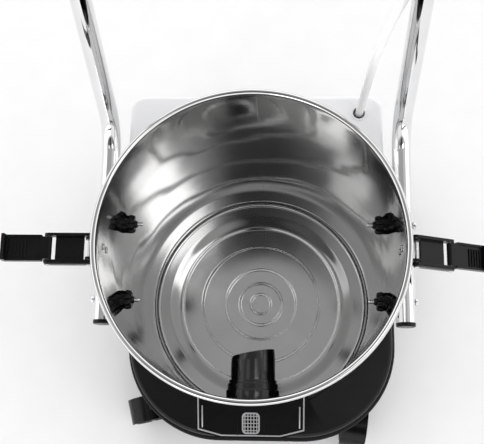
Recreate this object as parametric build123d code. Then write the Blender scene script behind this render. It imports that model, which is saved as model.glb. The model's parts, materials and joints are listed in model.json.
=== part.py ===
from build123d import *
import os
from math import atan2, cos, degrees, radians, sin, sqrt, tan

# Open drum of a wheeled wet vacuum with a solution tank behind it.
# Millimetres. +Z is up, -Y is the front (hose inlet side), +X the right.
# The sub-parts are built about the drum's axis with the ground at Z = 0 and
# then moved together, so that the origin is the bottom centre of the whole.

# ---- clearances
RUN_FIT = 0.05          # radial clearance of a pin or stem in its bore
SEAT_GAP = 0.1          # between pieces that are fixed together
BODY_GAP = 0.3          # between faces of pieces that move past each other

# ---- drum
DRUM_R = 200.0          # inside radius
DRUM_WALL = 1.2
DRUM_DEPTH = 575.0      # underside to the top of the rim
DRUM_RISE = 58.0        # underside above the base's bottom
RIM_BEAD_R = 4.2        # rolled bead at the mouth
RIM_GAP = 1.6           # slot where the rolled edge ends
FLOOR_SHEET = 1.2
FLOOR_FLANGE = 12.0     # upturned edge of the floor pressing
FLOOR_BEND_R = 6.0
RING_RISE = 2.4         # height of the pressed rings
RING_RUN = 3.6          # width of each ring's slope
RING_FRACTIONS = (0.095, 0.20, 0.335, 0.555, 0.745)   # ring steps, as shares of the floor's radius

# ---- wheeled base
BASE_SIDE_OUT = 46.8    # base outside the drum's wall, at the sides
BASE_FRONT_OUT = 45.8
BASE_REAR_OUT = 76.8
BASE_FRONT_R = 172.0
BASE_REAR_R = 60.0
BASE_OVER_WHEELS = 17.0  # underside above the wheels
BASE_RIM = 16.0         # how far the base rises round the drum's foot
BASE_SKIN = 4.0
BASE_EDGE_R = 9.0
BUMPER_PROUD = 8.0
BUMPER_LOW = 4.0        # from the bottom of the base
BUMPER_HIGH = 34.0
BUMPER_EDGE_R = 3.0
BOSS_R = 22.0

# ---- casters
CASTER_SIDE_IN = 61.0   # pivots inside the base's edges
CASTER_FRONT_IN = 60.0
CASTER_REAR_IN = 73.0
TRAIL = 35.0
WHEEL_R = 37.5
WHEEL_WIDTH = 19.0
WHEEL_EDGE_R = 5.0
WEB = 10.0              # central web between the twin wheels
WEB_SIDE_GAP = 0.5
FENDER_GAP = 2.0
FENDER_SKIN = 2.5
CROWN_R = 20.0
CROWN_THICK = 9.7
STEM_R = 5.5
STEM_LENGTH = 26.0
AXLE_R = 4.0
HUB_R = 14.0
HUB_DISH = 2.0
SWIVEL = {"front_left": 194.0, "front_right": 262.0, "rear_left": 118.0, "rear_right": 62.0}

# ---- push handle
TUBE_R = 14.0
TUBE_WALL = 1.5
TUBE_DROP = 152.0       # tube axis below the rim
TUBE_SIDE_GAP = 1.3     # between the drum's side and the tube
TUBE_FRONT = 86.0       # front end ahead of the drum's axis
TUBE_BEND_OUT = 1.8     # bend corner behind the drum's wall
TUBE_RAKE = 69.6        # riser's angle above the horizontal
TUBE_BEND_R = 60.0
HANDLE_HEIGHT = 975.0   # top of the grip above the ground
PLUG_CAP = 6.0
PLUG_INSERT = 16.0

# ---- bolts, spacers and knobs that hold the handle
BOLT_Y = 56.0
BOLT_R = 3.0
BOLT_HOLE_GAP = 0.15
BOLT_TIP = 28.0         # bolt end inside the drum's wall line at the bolt
BOLT_POINT = 1.2
HEAD_FLATS = 10.0
HEAD_THICK = 4.0
SPACER_R = 9.0
KNOB_R = 14.5
KNOB_LOBES = 7
KNOB_LOBE_R = 3.2
KNOB_THICK = 8.0
KNOB_FLANGE_R = 13.2
KNOB_FLANGE = 2.6
KNOB_EDGE_R = 1.2
KNOB_BOSS_R = 5.4
KNOB_BOSS = 3.6
SEAT_EDGE = 1.0         # knob seat's thickness at its thinnest point

# ---- over-centre latches
LATCH_DROP = 60.0       # pivot below the rim
LATCH_PIVOT_OUT = 19.0  # pivot outside the drum's wall
LATCH_HALF_W = 20.5
LINK_LENGTH = 57.0      # pivot to lever pin
LINK_HALF_H = 6.0
LINK_SKIN = 4.0
LEVER_REACH = 63.0
LEVER_HALF_W = 18.0
LEVER_HALF_H = 4.5
LIP_RISE = 9.0
LIP_THICK = 5.0
PIN_R = 2.5
STRAP_THICK = 2.4
STRAP_HALF_H = 4.6
EAR_THICK = 3.5
BRACKET_SKIN = 2.0
BRACKET_HALF_W = 19.0
BRACKET_HALF_H = 17.0
RIVET_R = 2.4
RIVET_HEAD_R = 4.2
RIVET_HEAD = 1.4
RIVET_RISE = 11.0       # rivets above and below the pivot's height
LATCH_ANGLE = {"left": 0.0, "right": -29.0}   # above the horizontal, as the latches lie

# ---- hose inlet
INLET_DROP = 175.0      # inlet axis below the rim
STUB_R = 30.5
STUB_WALL = 3.5
ELBOW_SWELL = 1.3       # deflector larger than the stub at its root
ELBOW_TIP_SWELL = 0.1   # and at its tip
ELBOW_REACH = 77.0      # from the inside of the wall to the tip
ELBOW_HOOD = 11.0       # the tip is cut back this much across its width
NUT_WALL = 6.2          # nut outside the deflector's root
NUT_WIDTHS = (15.0, 9.0, 5.0)       # stepped bands of the inner nut
NUT_STEP = 1.9
GASKET_INSET = 1.5      # gasket inside the nut's edge
HOUSING_HALF_W = 74.0
HOUSING_FRONT_HALF_W = 41.0
HOUSING_CORNER_OUT = 37.8   # from the drum's wall
HOUSING_FRONT_OUT = 45.8
HOUSING_ROOT = 0.8      # where its sides start, as a share of the drum's radius
HOUSING_UP = 52.0       # above the inlet's axis, at the front edge
HOUSING_DOWN = 58.0
HOUSING_SLOPE = 22.0
HOSE_BORE_R = 25.4
HOSE_BORE_DEPTH = 25.0
TRIM_INSET = 2.0
TRIM_WIDTH = 1.8
TRIM_PROUD = 0.8
TRIM_FRONT_SHARE = 0.4  # inset of the front corners for each unit of inset
BADGE_W = 24.0
BADGE_D = 28.0
BADGE_R = 6.0
BADGE_BARS = 5
BADGE_BAR = 1.1
BADGE_BACK = 19.0       # badge's centre behind the housing's front
BADGE_PROUD = 1.2

# ---- solution tank
TANK_SIDE_IN = 10.2     # tank's sides inside the drum's sides
TANK_REAR_OUT = 56.8    # rear face behind the drum's wall
TANK_NOSE_IN = 51.2     # front faces ahead of the drum's rear wall
TANK_DROP = 150.0       # top below the rim
TANK_GAP = 5.0          # between the tank and the drum
TANK_SKIN = 3.0
TANK_CORNER_R = 22.0
TANK_NOSE_R = 12.0
TANK_EDGE_R = 8.0
HOLE_SIDE_IN = 36.0     # hole from the tank's side
HOLE_REAR_IN = 29.0
HOLE_R = 9.0

# ---- solution hose
HOSE_R = 6.0
HOSE_DIP = 30.0         # how far the hose goes into the tank
HOSE_TUBE_GAP = 0.8     # between the coupling's collar and the tube
CLIP_LENGTH = 14.0
CLIP_SKIN = 2.6
CLIP_HEIGHT = 893.0     # clip's centre above the ground
COUPLING_R = 8.2
COUPLING_LENGTH = 34.0
COLLAR_PROUD = 1.0
SOCKET_R = 5.0

# ---- derived places
DRUM_OUT = DRUM_R + DRUM_WALL
BASE_BOTTOM = 2 * WHEEL_R + BASE_OVER_WHEELS
BASE_HALF_X = DRUM_OUT + BASE_SIDE_OUT
BASE_FRONT = DRUM_OUT + BASE_FRONT_OUT
BASE_REAR = DRUM_OUT + BASE_REAR_OUT
CASTER_X = BASE_HALF_X - CASTER_SIDE_IN
DRUM_Z = BASE_BOTTOM + DRUM_RISE
RIM_Z = DRUM_Z + DRUM_DEPTH
BASE_TOP = DRUM_Z + BASE_RIM
TUBE_X = DRUM_OUT + TUBE_SIDE_GAP + TUBE_R
TUBE_Z = RIM_Z - TUBE_DROP
TUBE_BEND_Y = DRUM_OUT + TUBE_BEND_OUT
GRIP_Z = HANDLE_HEIGHT - TUBE_R
GRIP_Y = TUBE_BEND_Y + (GRIP_Z - TUBE_Z) / tan(radians(TUBE_RAKE))
PIVOT_X = DRUM_OUT + LATCH_PIVOT_OUT
PIVOT_Z = RIM_Z - LATCH_DROP
INLET_Z = RIM_Z - INLET_DROP
ELBOW_R = STUB_R + ELBOW_SWELL
ELBOW_TIP_R = STUB_R + ELBOW_TIP_SWELL
NUT_R = ELBOW_R + NUT_WALL
GASKET_R = NUT_R - GASKET_INSET
HOUSING_CORNER_Y = DRUM_OUT + HOUSING_CORNER_OUT
HOUSING_FRONT_Y = DRUM_OUT + HOUSING_FRONT_OUT
BADGE_Y = HOUSING_FRONT_Y - BADGE_BACK
TANK_TOP = RIM_Z - TANK_DROP
TANK_HALF_W = DRUM_OUT - TANK_SIDE_IN
TANK_REAR = DRUM_OUT + TANK_REAR_OUT
TANK_FRONT = DRUM_OUT - TANK_NOSE_IN
HOLE_X = TANK_HALF_W - HOLE_SIDE_IN
HOLE_Y = TANK_REAR - HOLE_REAR_IN
HOSE_OFF_TUBE = TUBE_R + COUPLING_R + COLLAR_PROUD + HOSE_TUBE_GAP
BOLT_WALL_X = sqrt(DRUM_R**2 - BOLT_Y**2)
SIDES = {"left": -1, "right": 1}
CORNERS = {
    "front_left": (-CASTER_X, CASTER_FRONT_IN - BASE_FRONT),
    "front_right": (CASTER_X, CASTER_FRONT_IN - BASE_FRONT),
    "rear_left": (-CASTER_X, BASE_REAR - CASTER_REAR_IN),
    "rear_right": (CASTER_X, BASE_REAR - CASTER_REAR_IN),
}


def along(start, direction, radius, length):
    """A cylinder that starts at a point and runs along a direction."""
    return extrude(Plane(origin=start, z_dir=direction) * Circle(radius), length)


def across_x(x_low, x_high, y, z, radius):
    """A cylinder along X."""
    return along((x_low, y, z), (1, 0, 0), radius, x_high - x_low)


def across_y(x, y_low, y_high, z, radius):
    """A cylinder along Y."""
    return along((x, y_low, z), (0, 1, 0), radius, y_high - y_low)


def slab(x_low, x_high, y_low, y_high, z_low, z_high):
    """A box from its six faces."""
    centre = Pos((x_low + x_high) / 2, (y_low + y_high) / 2, (z_low + z_high) / 2)
    return centre * Box(x_high - x_low, y_high - y_low, z_high - z_low)


def disc(radius, z_low, z_high, x=0.0, y=0.0):
    """An upright cylinder from its two heights."""
    return along((x, y, z_low), (0, 0, 1), radius, z_high - z_low)


# ---- drum ---------------------------------------------------------------
def drum_shell():
    """Rolled wall with a curled rim, and the holes for bolts, rivets and inlet."""
    bead_z = RIM_Z - RIM_BEAD_R
    bead = Pos(DRUM_R + RIM_BEAD_R, bead_z) * (Circle(RIM_BEAD_R) - Circle(RIM_BEAD_R - DRUM_WALL))
    slot = Pos(DRUM_OUT + RIM_GAP / 2, bead_z - RIM_BEAD_R) * Rectangle(RIM_GAP, 1.6 * RIM_BEAD_R)
    wall = Pos(DRUM_R + DRUM_WALL / 2, (DRUM_Z + bead_z) / 2) * Rectangle(DRUM_WALL, bead_z - DRUM_Z)
    shell = revolve(Plane.XZ * (bead - slot + wall), Axis.Z)
    reach = 2 * DRUM_R
    for y in (-BOLT_Y, BOLT_Y):
        shell -= across_x(-reach, reach, y, TUBE_Z, BOLT_R + BOLT_HOLE_GAP)
    for rise in (-RIVET_RISE, RIVET_RISE):
        shell -= across_x(-reach, reach, 0, PIVOT_Z + rise, RIVET_R + SEAT_GAP)
    shell -= across_y(0, -reach, 0, INLET_Z, STUB_R + SEAT_GAP)
    return shell


def drum_floor():
    """Pressed floor: a dish with an upturned edge and stepped concentric rings."""
    edge = DRUM_R - SEAT_GAP
    low = DRUM_Z
    steps = [(0.0, low)]
    raised = False
    for share in RING_FRACTIONS:
        radius = share * DRUM_R
        before = low + (RING_RISE if raised else 0.0)
        raised = not raised
        after = low + (RING_RISE if raised else 0.0)
        steps += [(radius - RING_RUN / 2, before), (radius + RING_RUN / 2, after)]
    outer = share * DRUM_R + 0.07 * DRUM_R
    if raised:
        steps += [(outer, low + RING_RISE), (outer + RING_RUN, low)]
    steps += [(edge, low), (edge, low + FLOOR_FLANGE), (edge - FLOOR_SHEET, low + FLOOR_FLANGE)]
    back = [(edge - FLOOR_SHEET, low + FLOOR_SHEET)]
    for radius, height in reversed(steps[:-3]):
        back.append((radius, height + FLOOR_SHEET))
    profile = make_face(Polyline(*steps, *back, close=True))
    corner = profile.vertices().sort_by_distance((edge - FLOOR_SHEET, low + FLOOR_SHEET))[0]
    return revolve(Plane.XZ * fillet(corner, FLOOR_BEND_R), Axis.Z)


# ---- base ---------------------------------------------------------------
def base_outline(proud):
    """Plan of the base, wide round corners in front and tight ones behind."""
    depth = BASE_FRONT + BASE_REAR + 2 * proud
    middle = (BASE_REAR - BASE_FRONT) / 2
    plan = Pos(0, middle) * Rectangle(2 * (BASE_HALF_X + proud), depth)
    plan = fillet(plan.vertices().group_by(Axis.Y)[0], BASE_FRONT_R + proud)
    return fillet(plan.vertices().group_by(Axis.Y)[-1], BASE_REAR_R + proud)


def base_shell():
    """Moulded base, open underneath, with the drum's seat and four caster bosses."""
    height = BASE_TOP - BASE_BOTTOM
    shell = Pos(0, 0, BASE_BOTTOM) * extrude(base_outline(0), height)
    shell = fillet(shell.edges().group_by(Axis.Z)[-1], BASE_EDGE_R)
    seat_r = DRUM_OUT + SEAT_GAP
    shell -= disc(seat_r, DRUM_Z, BASE_TOP + 1)
    hollow = Pos(0, 0, BASE_BOTTOM - 1) * extrude(base_outline(-BASE_SKIN), height + 1 - BASE_SKIN)
    hollow -= disc(seat_r + BASE_SKIN, DRUM_Z - BASE_SKIN, BASE_TOP)
    for x, y in CORNERS.values():
        hollow -= disc(BOSS_R, BASE_BOTTOM - 2, BASE_TOP, x, y)
    shell -= hollow
    for x, y in CORNERS.values():
        shell -= disc(STEM_R + RUN_FIT, BASE_BOTTOM - 1, BASE_BOTTOM + STEM_LENGTH + 1, x, y)
    return shell


def base_bumper():
    """Band round the outside of the base."""
    band = base_outline(BUMPER_PROUD) - base_outline(0)
    low = BASE_BOTTOM + BUMPER_LOW
    ring = Pos(0, 0, low) * extrude(band, BUMPER_HIGH)
    outline_length = base_outline(BUMPER_PROUD).wires()[0].length
    long_edges = [wire for wire in ring.wires() if abs(wire.length - outline_length) < 1.0]
    edges = [edge for wire in long_edges for edge in wire.edges()]
    return fillet(edges, BUMPER_EDGE_R)


# ---- casters ------------------------------------------------------------
def place_caster(piece, corner):
    """Turns a caster piece about its swivel and sets it under its boss."""
    x, y = CORNERS[corner]
    return Pos(x, y, 0) * Rot(0, 0, SWIVEL[corner]) * piece


def caster_fork():
    """Swivel housing: stem, crown, central web and a fender over both wheels."""
    crown_top = BASE_BOTTOM - BODY_GAP
    crown_low = crown_top - CROWN_THICK
    half_web = WEB / 2
    fork = disc(CROWN_R, crown_low, crown_top)
    fork = fillet(fork.edges().group_by(Axis.Z)[0], 3.0)
    fork += disc(STEM_R, crown_top - 1, crown_top + BODY_GAP + STEM_LENGTH)
    outline = [
        (-0.8 * CROWN_R, crown_low + 4),
        (-0.5 * CROWN_R, crown_low - 12),
        (TRAIL - 11, WHEEL_R - 9),
        (TRAIL + 11, WHEEL_R - 9),
        (TRAIL + 0.6 * WHEEL_R, WHEEL_R + 0.84 * WHEEL_R),
        (0.8 * CROWN_R, crown_low + 4),
    ]
    web = Plane.XZ.offset(-half_web) * make_face(Polyline(*outline, close=True))
    fork += extrude(web, WEB)
    inner = WHEEL_R + FENDER_GAP
    arch = Pos(TRAIL, WHEEL_R) * (Circle(inner + FENDER_SKIN) - Circle(inner))
    keep = Pos(TRAIL, WHEEL_R + 8 + WHEEL_R) * Rectangle(4 * WHEEL_R, 2 * WHEEL_R)
    width = WEB + 2 * (WEB_SIDE_GAP + WHEEL_WIDTH)
    fork += extrude(Plane.XZ.offset(-width / 2) * (arch & keep), width)
    fork -= across_y(TRAIL, -WEB, WEB, WHEEL_R, AXLE_R + SEAT_GAP / 2)
    return fork


def caster_wheels():
    """Twin wheels with rounded tyres and dished hubs, on one axle."""
    inner_face = WEB / 2 + WEB_SIDE_GAP
    wheels = []
    for side in (-1, 1):
        face = Plane(origin=(TRAIL, side * inner_face, WHEEL_R), z_dir=(0, side, 0))
        wheel = extrude(face * (Circle(WHEEL_R) - Circle(AXLE_R + RUN_FIT)), WHEEL_WIDTH)
        circles = wheel.edges().filter_by(GeomType.CIRCLE)
        rims = [edge for edge in circles if abs(edge.radius - WHEEL_R) < 0.01]
        wheel = fillet(rims, WHEEL_EDGE_R)
        outer = face.offset(WHEEL_WIDTH)
        wheel -= extrude(outer * (Circle(WHEEL_R - 9) - Circle(HUB_R)), -HUB_DISH)
        wheels.append(wheel)
    return Compound(wheels)


def caster_axle():
    """Axle through the web and both wheels."""
    half = WEB / 2 + WEB_SIDE_GAP + WHEEL_WIDTH + 1.0
    return across_y(TRAIL, -half, half, WHEEL_R, AXLE_R)


# ---- push handle --------------------------------------------------------
def handle_path():
    """Centre line of the U handle, from the left front end to the right one."""
    return FilletPolyline(
        (-TUBE_X, -TUBE_FRONT, TUBE_Z),
        (-TUBE_X, TUBE_BEND_Y, TUBE_Z),
        (-TUBE_X, GRIP_Y, GRIP_Z),
        (TUBE_X, GRIP_Y, GRIP_Z),
        (TUBE_X, TUBE_BEND_Y, TUBE_Z),
        (TUBE_X, -TUBE_FRONT, TUBE_Z),
        radius=TUBE_BEND_R,
    )


def push_handle():
    """Bent chrome tube, drilled for the four bolts."""
    start = Plane(origin=(-TUBE_X, -TUBE_FRONT, TUBE_Z), z_dir=(0, 1, 0))
    tube = sweep(start * (Circle(TUBE_R) - Circle(TUBE_R - TUBE_WALL)), path=handle_path())
    reach = TUBE_X + 2 * TUBE_R
    for y in (-BOLT_Y, BOLT_Y):
        tube -= across_x(-reach, reach, y, TUBE_Z, BOLT_R + BOLT_HOLE_GAP)
    return tube


def handle_plug(side):
    """End plug with a domed cap and an insert inside the tube."""
    x = side * TUBE_X
    cap = across_y(x, -TUBE_FRONT - PLUG_CAP, -TUBE_FRONT, TUBE_Z, TUBE_R)
    cap = fillet(cap.edges().group_by(Axis.Y)[0], 2.5)
    insert_r = TUBE_R - TUBE_WALL - SEAT_GAP
    return cap + across_y(x, -TUBE_FRONT - 1, -TUBE_FRONT + PLUG_INSERT, TUBE_Z, insert_r)


def handle_bolt(side, y):
    """Hex bolt through the tube, the spacer, the drum's wall and the knob."""
    head_face = TUBE_X + TUBE_R
    tip = BOLT_WALL_X - BOLT_TIP
    shank = across_x(tip, head_face + 1, 0, 0, BOLT_R)
    shank = chamfer(shank.edges().group_by(Axis.X)[0], BOLT_POINT)
    outward = Plane(origin=(head_face, 0, 0), z_dir=(1, 0, 0))
    hexagon = RegularPolygon(HEAD_FLATS / 2, 6, major_radius=False)
    bolt = shank + extrude(outward * hexagon, HEAD_THICK)
    return Pos(0, y, TUBE_Z) * (bolt if side > 0 else mirror(bolt, Plane.YZ))


def handle_spacer(side, y):
    """Saddle block between the drum's curved wall and the round tube."""
    block = across_x(BOLT_WALL_X - SPACER_R, TUBE_X, y, TUBE_Z, SPACER_R)
    block -= disc(DRUM_OUT + SEAT_GAP, TUBE_Z - 2 * SPACER_R, TUBE_Z + 2 * SPACER_R)
    block -= across_y(TUBE_X, y - 2 * SPACER_R, y + 2 * SPACER_R, TUBE_Z, TUBE_R + SEAT_GAP)
    block -= across_x(0, 2 * TUBE_X, y, TUBE_Z, BOLT_R + BOLT_HOLE_GAP)
    block = block.solids().sort_by(SortBy.VOLUME)[-1]
    return block if side > 0 else mirror(block, Plane.YZ)


def knob_face_x():
    """Where the knob's flat flange turns on its seat."""
    return sqrt((DRUM_R - SEAT_GAP) ** 2 - (BOLT_Y + KNOB_FLANGE_R) ** 2) - SEAT_EDGE


def knob_seat(side, y):
    """Saddle washer that fills the space between the drum's curved wall and the knob."""
    seat = across_x(knob_face_x(), DRUM_R, y, TUBE_Z, KNOB_FLANGE_R)
    seat &= disc(DRUM_R - SEAT_GAP, TUBE_Z - 2 * KNOB_FLANGE_R, TUBE_Z + 2 * KNOB_FLANGE_R)
    seat -= across_x(0, 2 * TUBE_X, y, TUBE_Z, BOLT_R + BOLT_HOLE_GAP)
    return seat if side > 0 else mirror(seat, Plane.YZ)


def star_knob(side, y):
    """Lobed nut with a round flange, turned by hand inside the drum."""
    grip = Circle(KNOB_R - KNOB_LOBE_R)
    grip += PolarLocations(KNOB_R - KNOB_LOBE_R, KNOB_LOBES) * Circle(KNOB_LOBE_R)
    knob = extrude(grip, KNOB_THICK)
    knob = chamfer(knob.edges().group_by(Axis.Z)[-1], KNOB_EDGE_R)
    knob += extrude(Circle(KNOB_FLANGE_R), -KNOB_FLANGE)
    knob += Pos(0, 0, KNOB_THICK) * extrude(Circle(KNOB_BOSS_R), KNOB_BOSS)
    knob -= disc(BOLT_R + RUN_FIT, -KNOB_FLANGE - 1, KNOB_THICK + KNOB_BOSS + 1)
    inward = Plane(origin=(knob_face_x() - BODY_GAP - KNOB_FLANGE, y, TUBE_Z), z_dir=(-1, 0, 0))
    placed = inward * knob
    return placed if side > 0 else mirror(placed, Plane.YZ)


# ---- latches ------------------------------------------------------------
def place_latch(piece, side_name):
    """Turns a latch piece about its pivot; pieces are drawn along +X from the pivot."""
    tilted = Pos(PIVOT_X, 0, PIVOT_Z) * Rot(0, -LATCH_ANGLE[side_name], 0) * piece
    return tilted if SIDES[side_name] > 0 else mirror(tilted, Plane.YZ)


def latch_bracket(side):
    """Curved plate on the drum's wall with two ears that carry the pivot pin."""
    inner = DRUM_OUT + SEAT_GAP
    low = PIVOT_Z - BRACKET_HALF_H
    high = PIVOT_Z + BRACKET_HALF_H
    band = disc(inner + BRACKET_SKIN, low, high) - disc(inner, low - 1, high + 1)
    bracket = band & slab(0, 2 * inner, -BRACKET_HALF_W, BRACKET_HALF_W, low, high)
    ear_out = LATCH_HALF_W - LINK_SKIN - 1.0
    ear = Pos((inner + PIVOT_X) / 2, PIVOT_Z) * Rectangle(PIVOT_X - inner, 2 * LINK_HALF_H)
    ear += Pos(PIVOT_X, PIVOT_Z) * Circle(LINK_HALF_H)
    ear -= Pos(PIVOT_X, PIVOT_Z) * Circle(PIN_R + SEAT_GAP / 2)
    for y_high in (ear_out, EAR_THICK - ear_out):
        bracket += extrude(Plane.XZ.offset(-y_high) * ear, EAR_THICK)
    for rise in (-RIVET_RISE, RIVET_RISE):
        bracket -= across_x(0, 2 * inner, 0, PIVOT_Z + rise, RIVET_R + SEAT_GAP)
    return bracket if side > 0 else mirror(bracket, Plane.YZ)


def latch_rivets(side):
    """Two rivets that hold the bracket on the drum's wall."""
    rivets = []
    inside = DRUM_R - RIVET_HEAD
    outside = DRUM_OUT + SEAT_GAP + BRACKET_SKIN
    for rise in (-RIVET_RISE, RIVET_RISE):
        z = PIVOT_Z + rise
        rivet = across_x(inside, outside + RIVET_HEAD, 0, z, RIVET_R)
        rivet += across_x(inside - 0.1, DRUM_R - 0.1, 0, z, RIVET_HEAD_R)
        rivet += across_x(outside + 0.1, outside + RIVET_HEAD, 0, z, RIVET_HEAD_R)
        rivets.append(rivet if side > 0 else mirror(rivet, Plane.YZ))
    return Compound(rivets)


def latch_pin():
    """Pivot pin along Y, through both ears and the strap."""
    half = LATCH_HALF_W + STRAP_THICK + 1.4
    return across_y(0, -half, LATCH_HALF_W + 1.0, 0, PIN_R)


def lever_pin():
    """Pin between the link and the lever."""
    half = LATCH_HALF_W + STRAP_THICK + 1.4
    return across_y(LINK_LENGTH, -half, LATCH_HALF_W + 1.0, 0, PIN_R)


def latch_link():
    """Inner channel of the latch: a floor with two raised sides."""
    clear = LINK_HALF_H + 3.0
    width = 2 * LATCH_HALF_W
    side_plan = Plane.XZ * (Pos(LINK_LENGTH / 2, 0) * SlotCenterToCenter(LINK_LENGTH, 2 * LINK_HALF_H))
    link = extrude(side_plan, LATCH_HALF_W, both=True)
    inner = LATCH_HALF_W - LINK_SKIN
    low = -LINK_HALF_H + LINK_SKIN
    far = LINK_LENGTH + 2 * LINK_HALF_H
    link -= slab(-far, far, -inner, inner, low, far)
    link -= slab(-far, clear, -inner, inner, -far, far)
    link -= slab(LINK_LENGTH - clear, far, -inner, inner, -far, far)
    link -= across_y(0, -width, width, 0, PIN_R + RUN_FIT)
    link -= across_y(LINK_LENGTH, -width, width, 0, PIN_R + SEAT_GAP / 2)
    return link


def latch_lever():
    """Outer lever: a knuckle on the pin, a ribbed plate and a finger lip at the end."""
    knuckle_half = LATCH_HALF_W - LINK_SKIN - 1.0
    start = LINK_LENGTH + LINK_HALF_H + 2.0
    end = LINK_LENGTH + LEVER_REACH
    plate = slab(start, end, -LEVER_HALF_W, LEVER_HALF_W, -LEVER_HALF_H, LEVER_HALF_H)
    recess_low = LEVER_HALF_H - 2.2
    rim = 3.0
    half = LEVER_HALF_W - rim
    recess = slab(start + rim, end - LIP_THICK - rim, -half, half, recess_low, 2 * LEVER_HALF_H)
    plate = fillet(plate.edges().filter_by(Axis.Z), 2.5) - recess
    lip = slab(end - LIP_THICK, end, -LEVER_HALF_W, LEVER_HALF_W, 0, LEVER_HALF_H + LIP_RISE)
    lip = fillet(lip.edges().group_by(Axis.Z)[-1].filter_by(Axis.Y), 2.0)
    neck = slab(LINK_LENGTH, start + 1, -knuckle_half, knuckle_half, -LEVER_HALF_H, LEVER_HALF_H)
    knuckle = across_y(LINK_LENGTH, -knuckle_half, knuckle_half, 0, LEVER_HALF_H)
    lever = plate + lip + neck + knuckle
    return lever - across_y(LINK_LENGTH, -2 * knuckle_half, 2 * knuckle_half, 0, PIN_R + RUN_FIT)


def latch_strap():
    """Steel strip along the front side of the link, held by both pins."""
    face = LATCH_HALF_W + SEAT_GAP
    plan = Pos(LINK_LENGTH / 2, 0) * SlotCenterToCenter(LINK_LENGTH, 2 * STRAP_HALF_H)
    strap = extrude(Plane.XZ.offset(face) * plan, STRAP_THICK)
    for x in (0, LINK_LENGTH):
        strap -= across_y(x, -2 * face, 0, 0, PIN_R + RUN_FIT)
    return strap


# ---- hose inlet ---------------------------------------------------------
def inlet_line(y_from_axis, plan):
    """Places a plan drawn square to the inlet's axis at a distance in front of the drum's axis."""
    return Plane(origin=(0, -y_from_axis, INLET_Z), z_dir=(0, 1, 0), x_dir=(1, 0, 0)) * plan


def nut_face_y():
    """Where a round face of the nut's radius meets the drum's curved wall, inside."""
    return sqrt(DRUM_R**2 - NUT_R**2) - SEAT_GAP


def housing_socket_y():
    """Where the outer hose bore ends and the stub's socket starts."""
    return HOUSING_FRONT_Y - HOSE_BORE_DEPTH


def inlet_elbow():
    """Inlet stub through the wall and the slant-cut deflector inside the drum."""
    bore_r = STUB_R - STUB_WALL
    tip_y = DRUM_R - ELBOW_REACH
    outer_end = housing_socket_y() - BODY_GAP
    body_y = nut_face_y() - sum(NUT_WIDTHS) + 2.0
    elbow = extrude(inlet_line(outer_end, Circle(STUB_R)), outer_end - body_y)
    cone = loft([inlet_line(body_y, Circle(ELBOW_R)), inlet_line(tip_y, Circle(ELBOW_TIP_R))])
    elbow += cone
    elbow -= extrude(inlet_line(outer_end + 1, Circle(bore_r)), outer_end - tip_y + 2)
    slant = degrees(atan2(ELBOW_HOOD, 2 * ELBOW_TIP_R))
    cutter = Pos(ELBOW_TIP_R, -tip_y, INLET_Z) * Rot(0, 0, slant) * Pos(0, 2 * ELBOW_R, 0)
    return elbow - cutter * Box(8 * ELBOW_R, 4 * ELBOW_R, 4 * ELBOW_R)


def inlet_nut():
    """Stepped nut that clamps the inlet against the inside of the wall."""
    nut = None
    start = nut_face_y()
    radius = NUT_R
    for width in NUT_WIDTHS:
        band = extrude(inlet_line(start, Circle(radius)), width)
        nut = band if nut is None else nut + band
        start -= width
        radius -= NUT_STEP
    return nut - across_y(0, -DRUM_R, 0, INLET_Z, ELBOW_R + SEAT_GAP)


def inlet_gasket():
    """Rubber ring shaped to the drum's wall, behind the nut."""
    plan = inlet_line(DRUM_R, Circle(GASKET_R) - Circle(STUB_R + SEAT_GAP))
    ring = extrude(plan, DRUM_R - nut_face_y())
    return ring & disc(DRUM_R - 2 * SEAT_GAP, INLET_Z - NUT_R, INLET_Z + NUT_R)


def housing_plan(inset):
    """Half-octagon plan of the inlet housing, seen from above."""
    side = HOUSING_HALF_W - inset
    front = HOUSING_FRONT_HALF_W - TRIM_FRONT_SHARE * inset
    root = -HOUSING_ROOT * DRUM_R
    return make_face(
        Polyline(
            (-side, root),
            (-side, inset - HOUSING_CORNER_Y),
            (-front, inset - HOUSING_FRONT_Y),
            (front, inset - HOUSING_FRONT_Y),
            (side, inset - HOUSING_CORNER_Y),
            (side, root),
            close=True,
        )
    )


def housing_slice(low, high):
    """Slab parallel to the housing's sloped top, between two heights above it."""
    hinge = Pos(0, -HOUSING_FRONT_Y, INLET_Z + HOUSING_UP) * Rot(HOUSING_SLOPE, 0, 0)
    return hinge * slab(-200, 200, -200, 200, low, high)


def housing_column(inset):
    """Upright prism on the housing's plan, outside the drum."""
    low = INLET_Z - HOUSING_DOWN
    column = Pos(0, 0, low) * extrude(housing_plan(inset), 2 * HOUSING_UP + HOUSING_DOWN)
    return column - disc(DRUM_OUT + SEAT_GAP, low - 1, INLET_Z + 3 * HOUSING_UP)


def inlet_housing():
    """Moulded box on the front of the drum that receives the suction hose."""
    housing = housing_column(0) - housing_slice(0, 400)
    housing -= across_y(0, -housing_socket_y(), 0, INLET_Z, STUB_R + SEAT_GAP)
    housing -= across_y(0, -2 * HOUSING_FRONT_Y, 0, INLET_Z, HOSE_BORE_R)
    return housing


def housing_trim():
    """Bright line let into the housing's top, along its edge."""
    outline = housing_column(TRIM_INSET) - housing_column(TRIM_INSET + TRIM_WIDTH)
    trim = outline & housing_slice(SEAT_GAP / 2, TRIM_PROUD)
    back = DRUM_OUT + 3.0
    return trim - disc(back, INLET_Z, RIM_Z)


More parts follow.
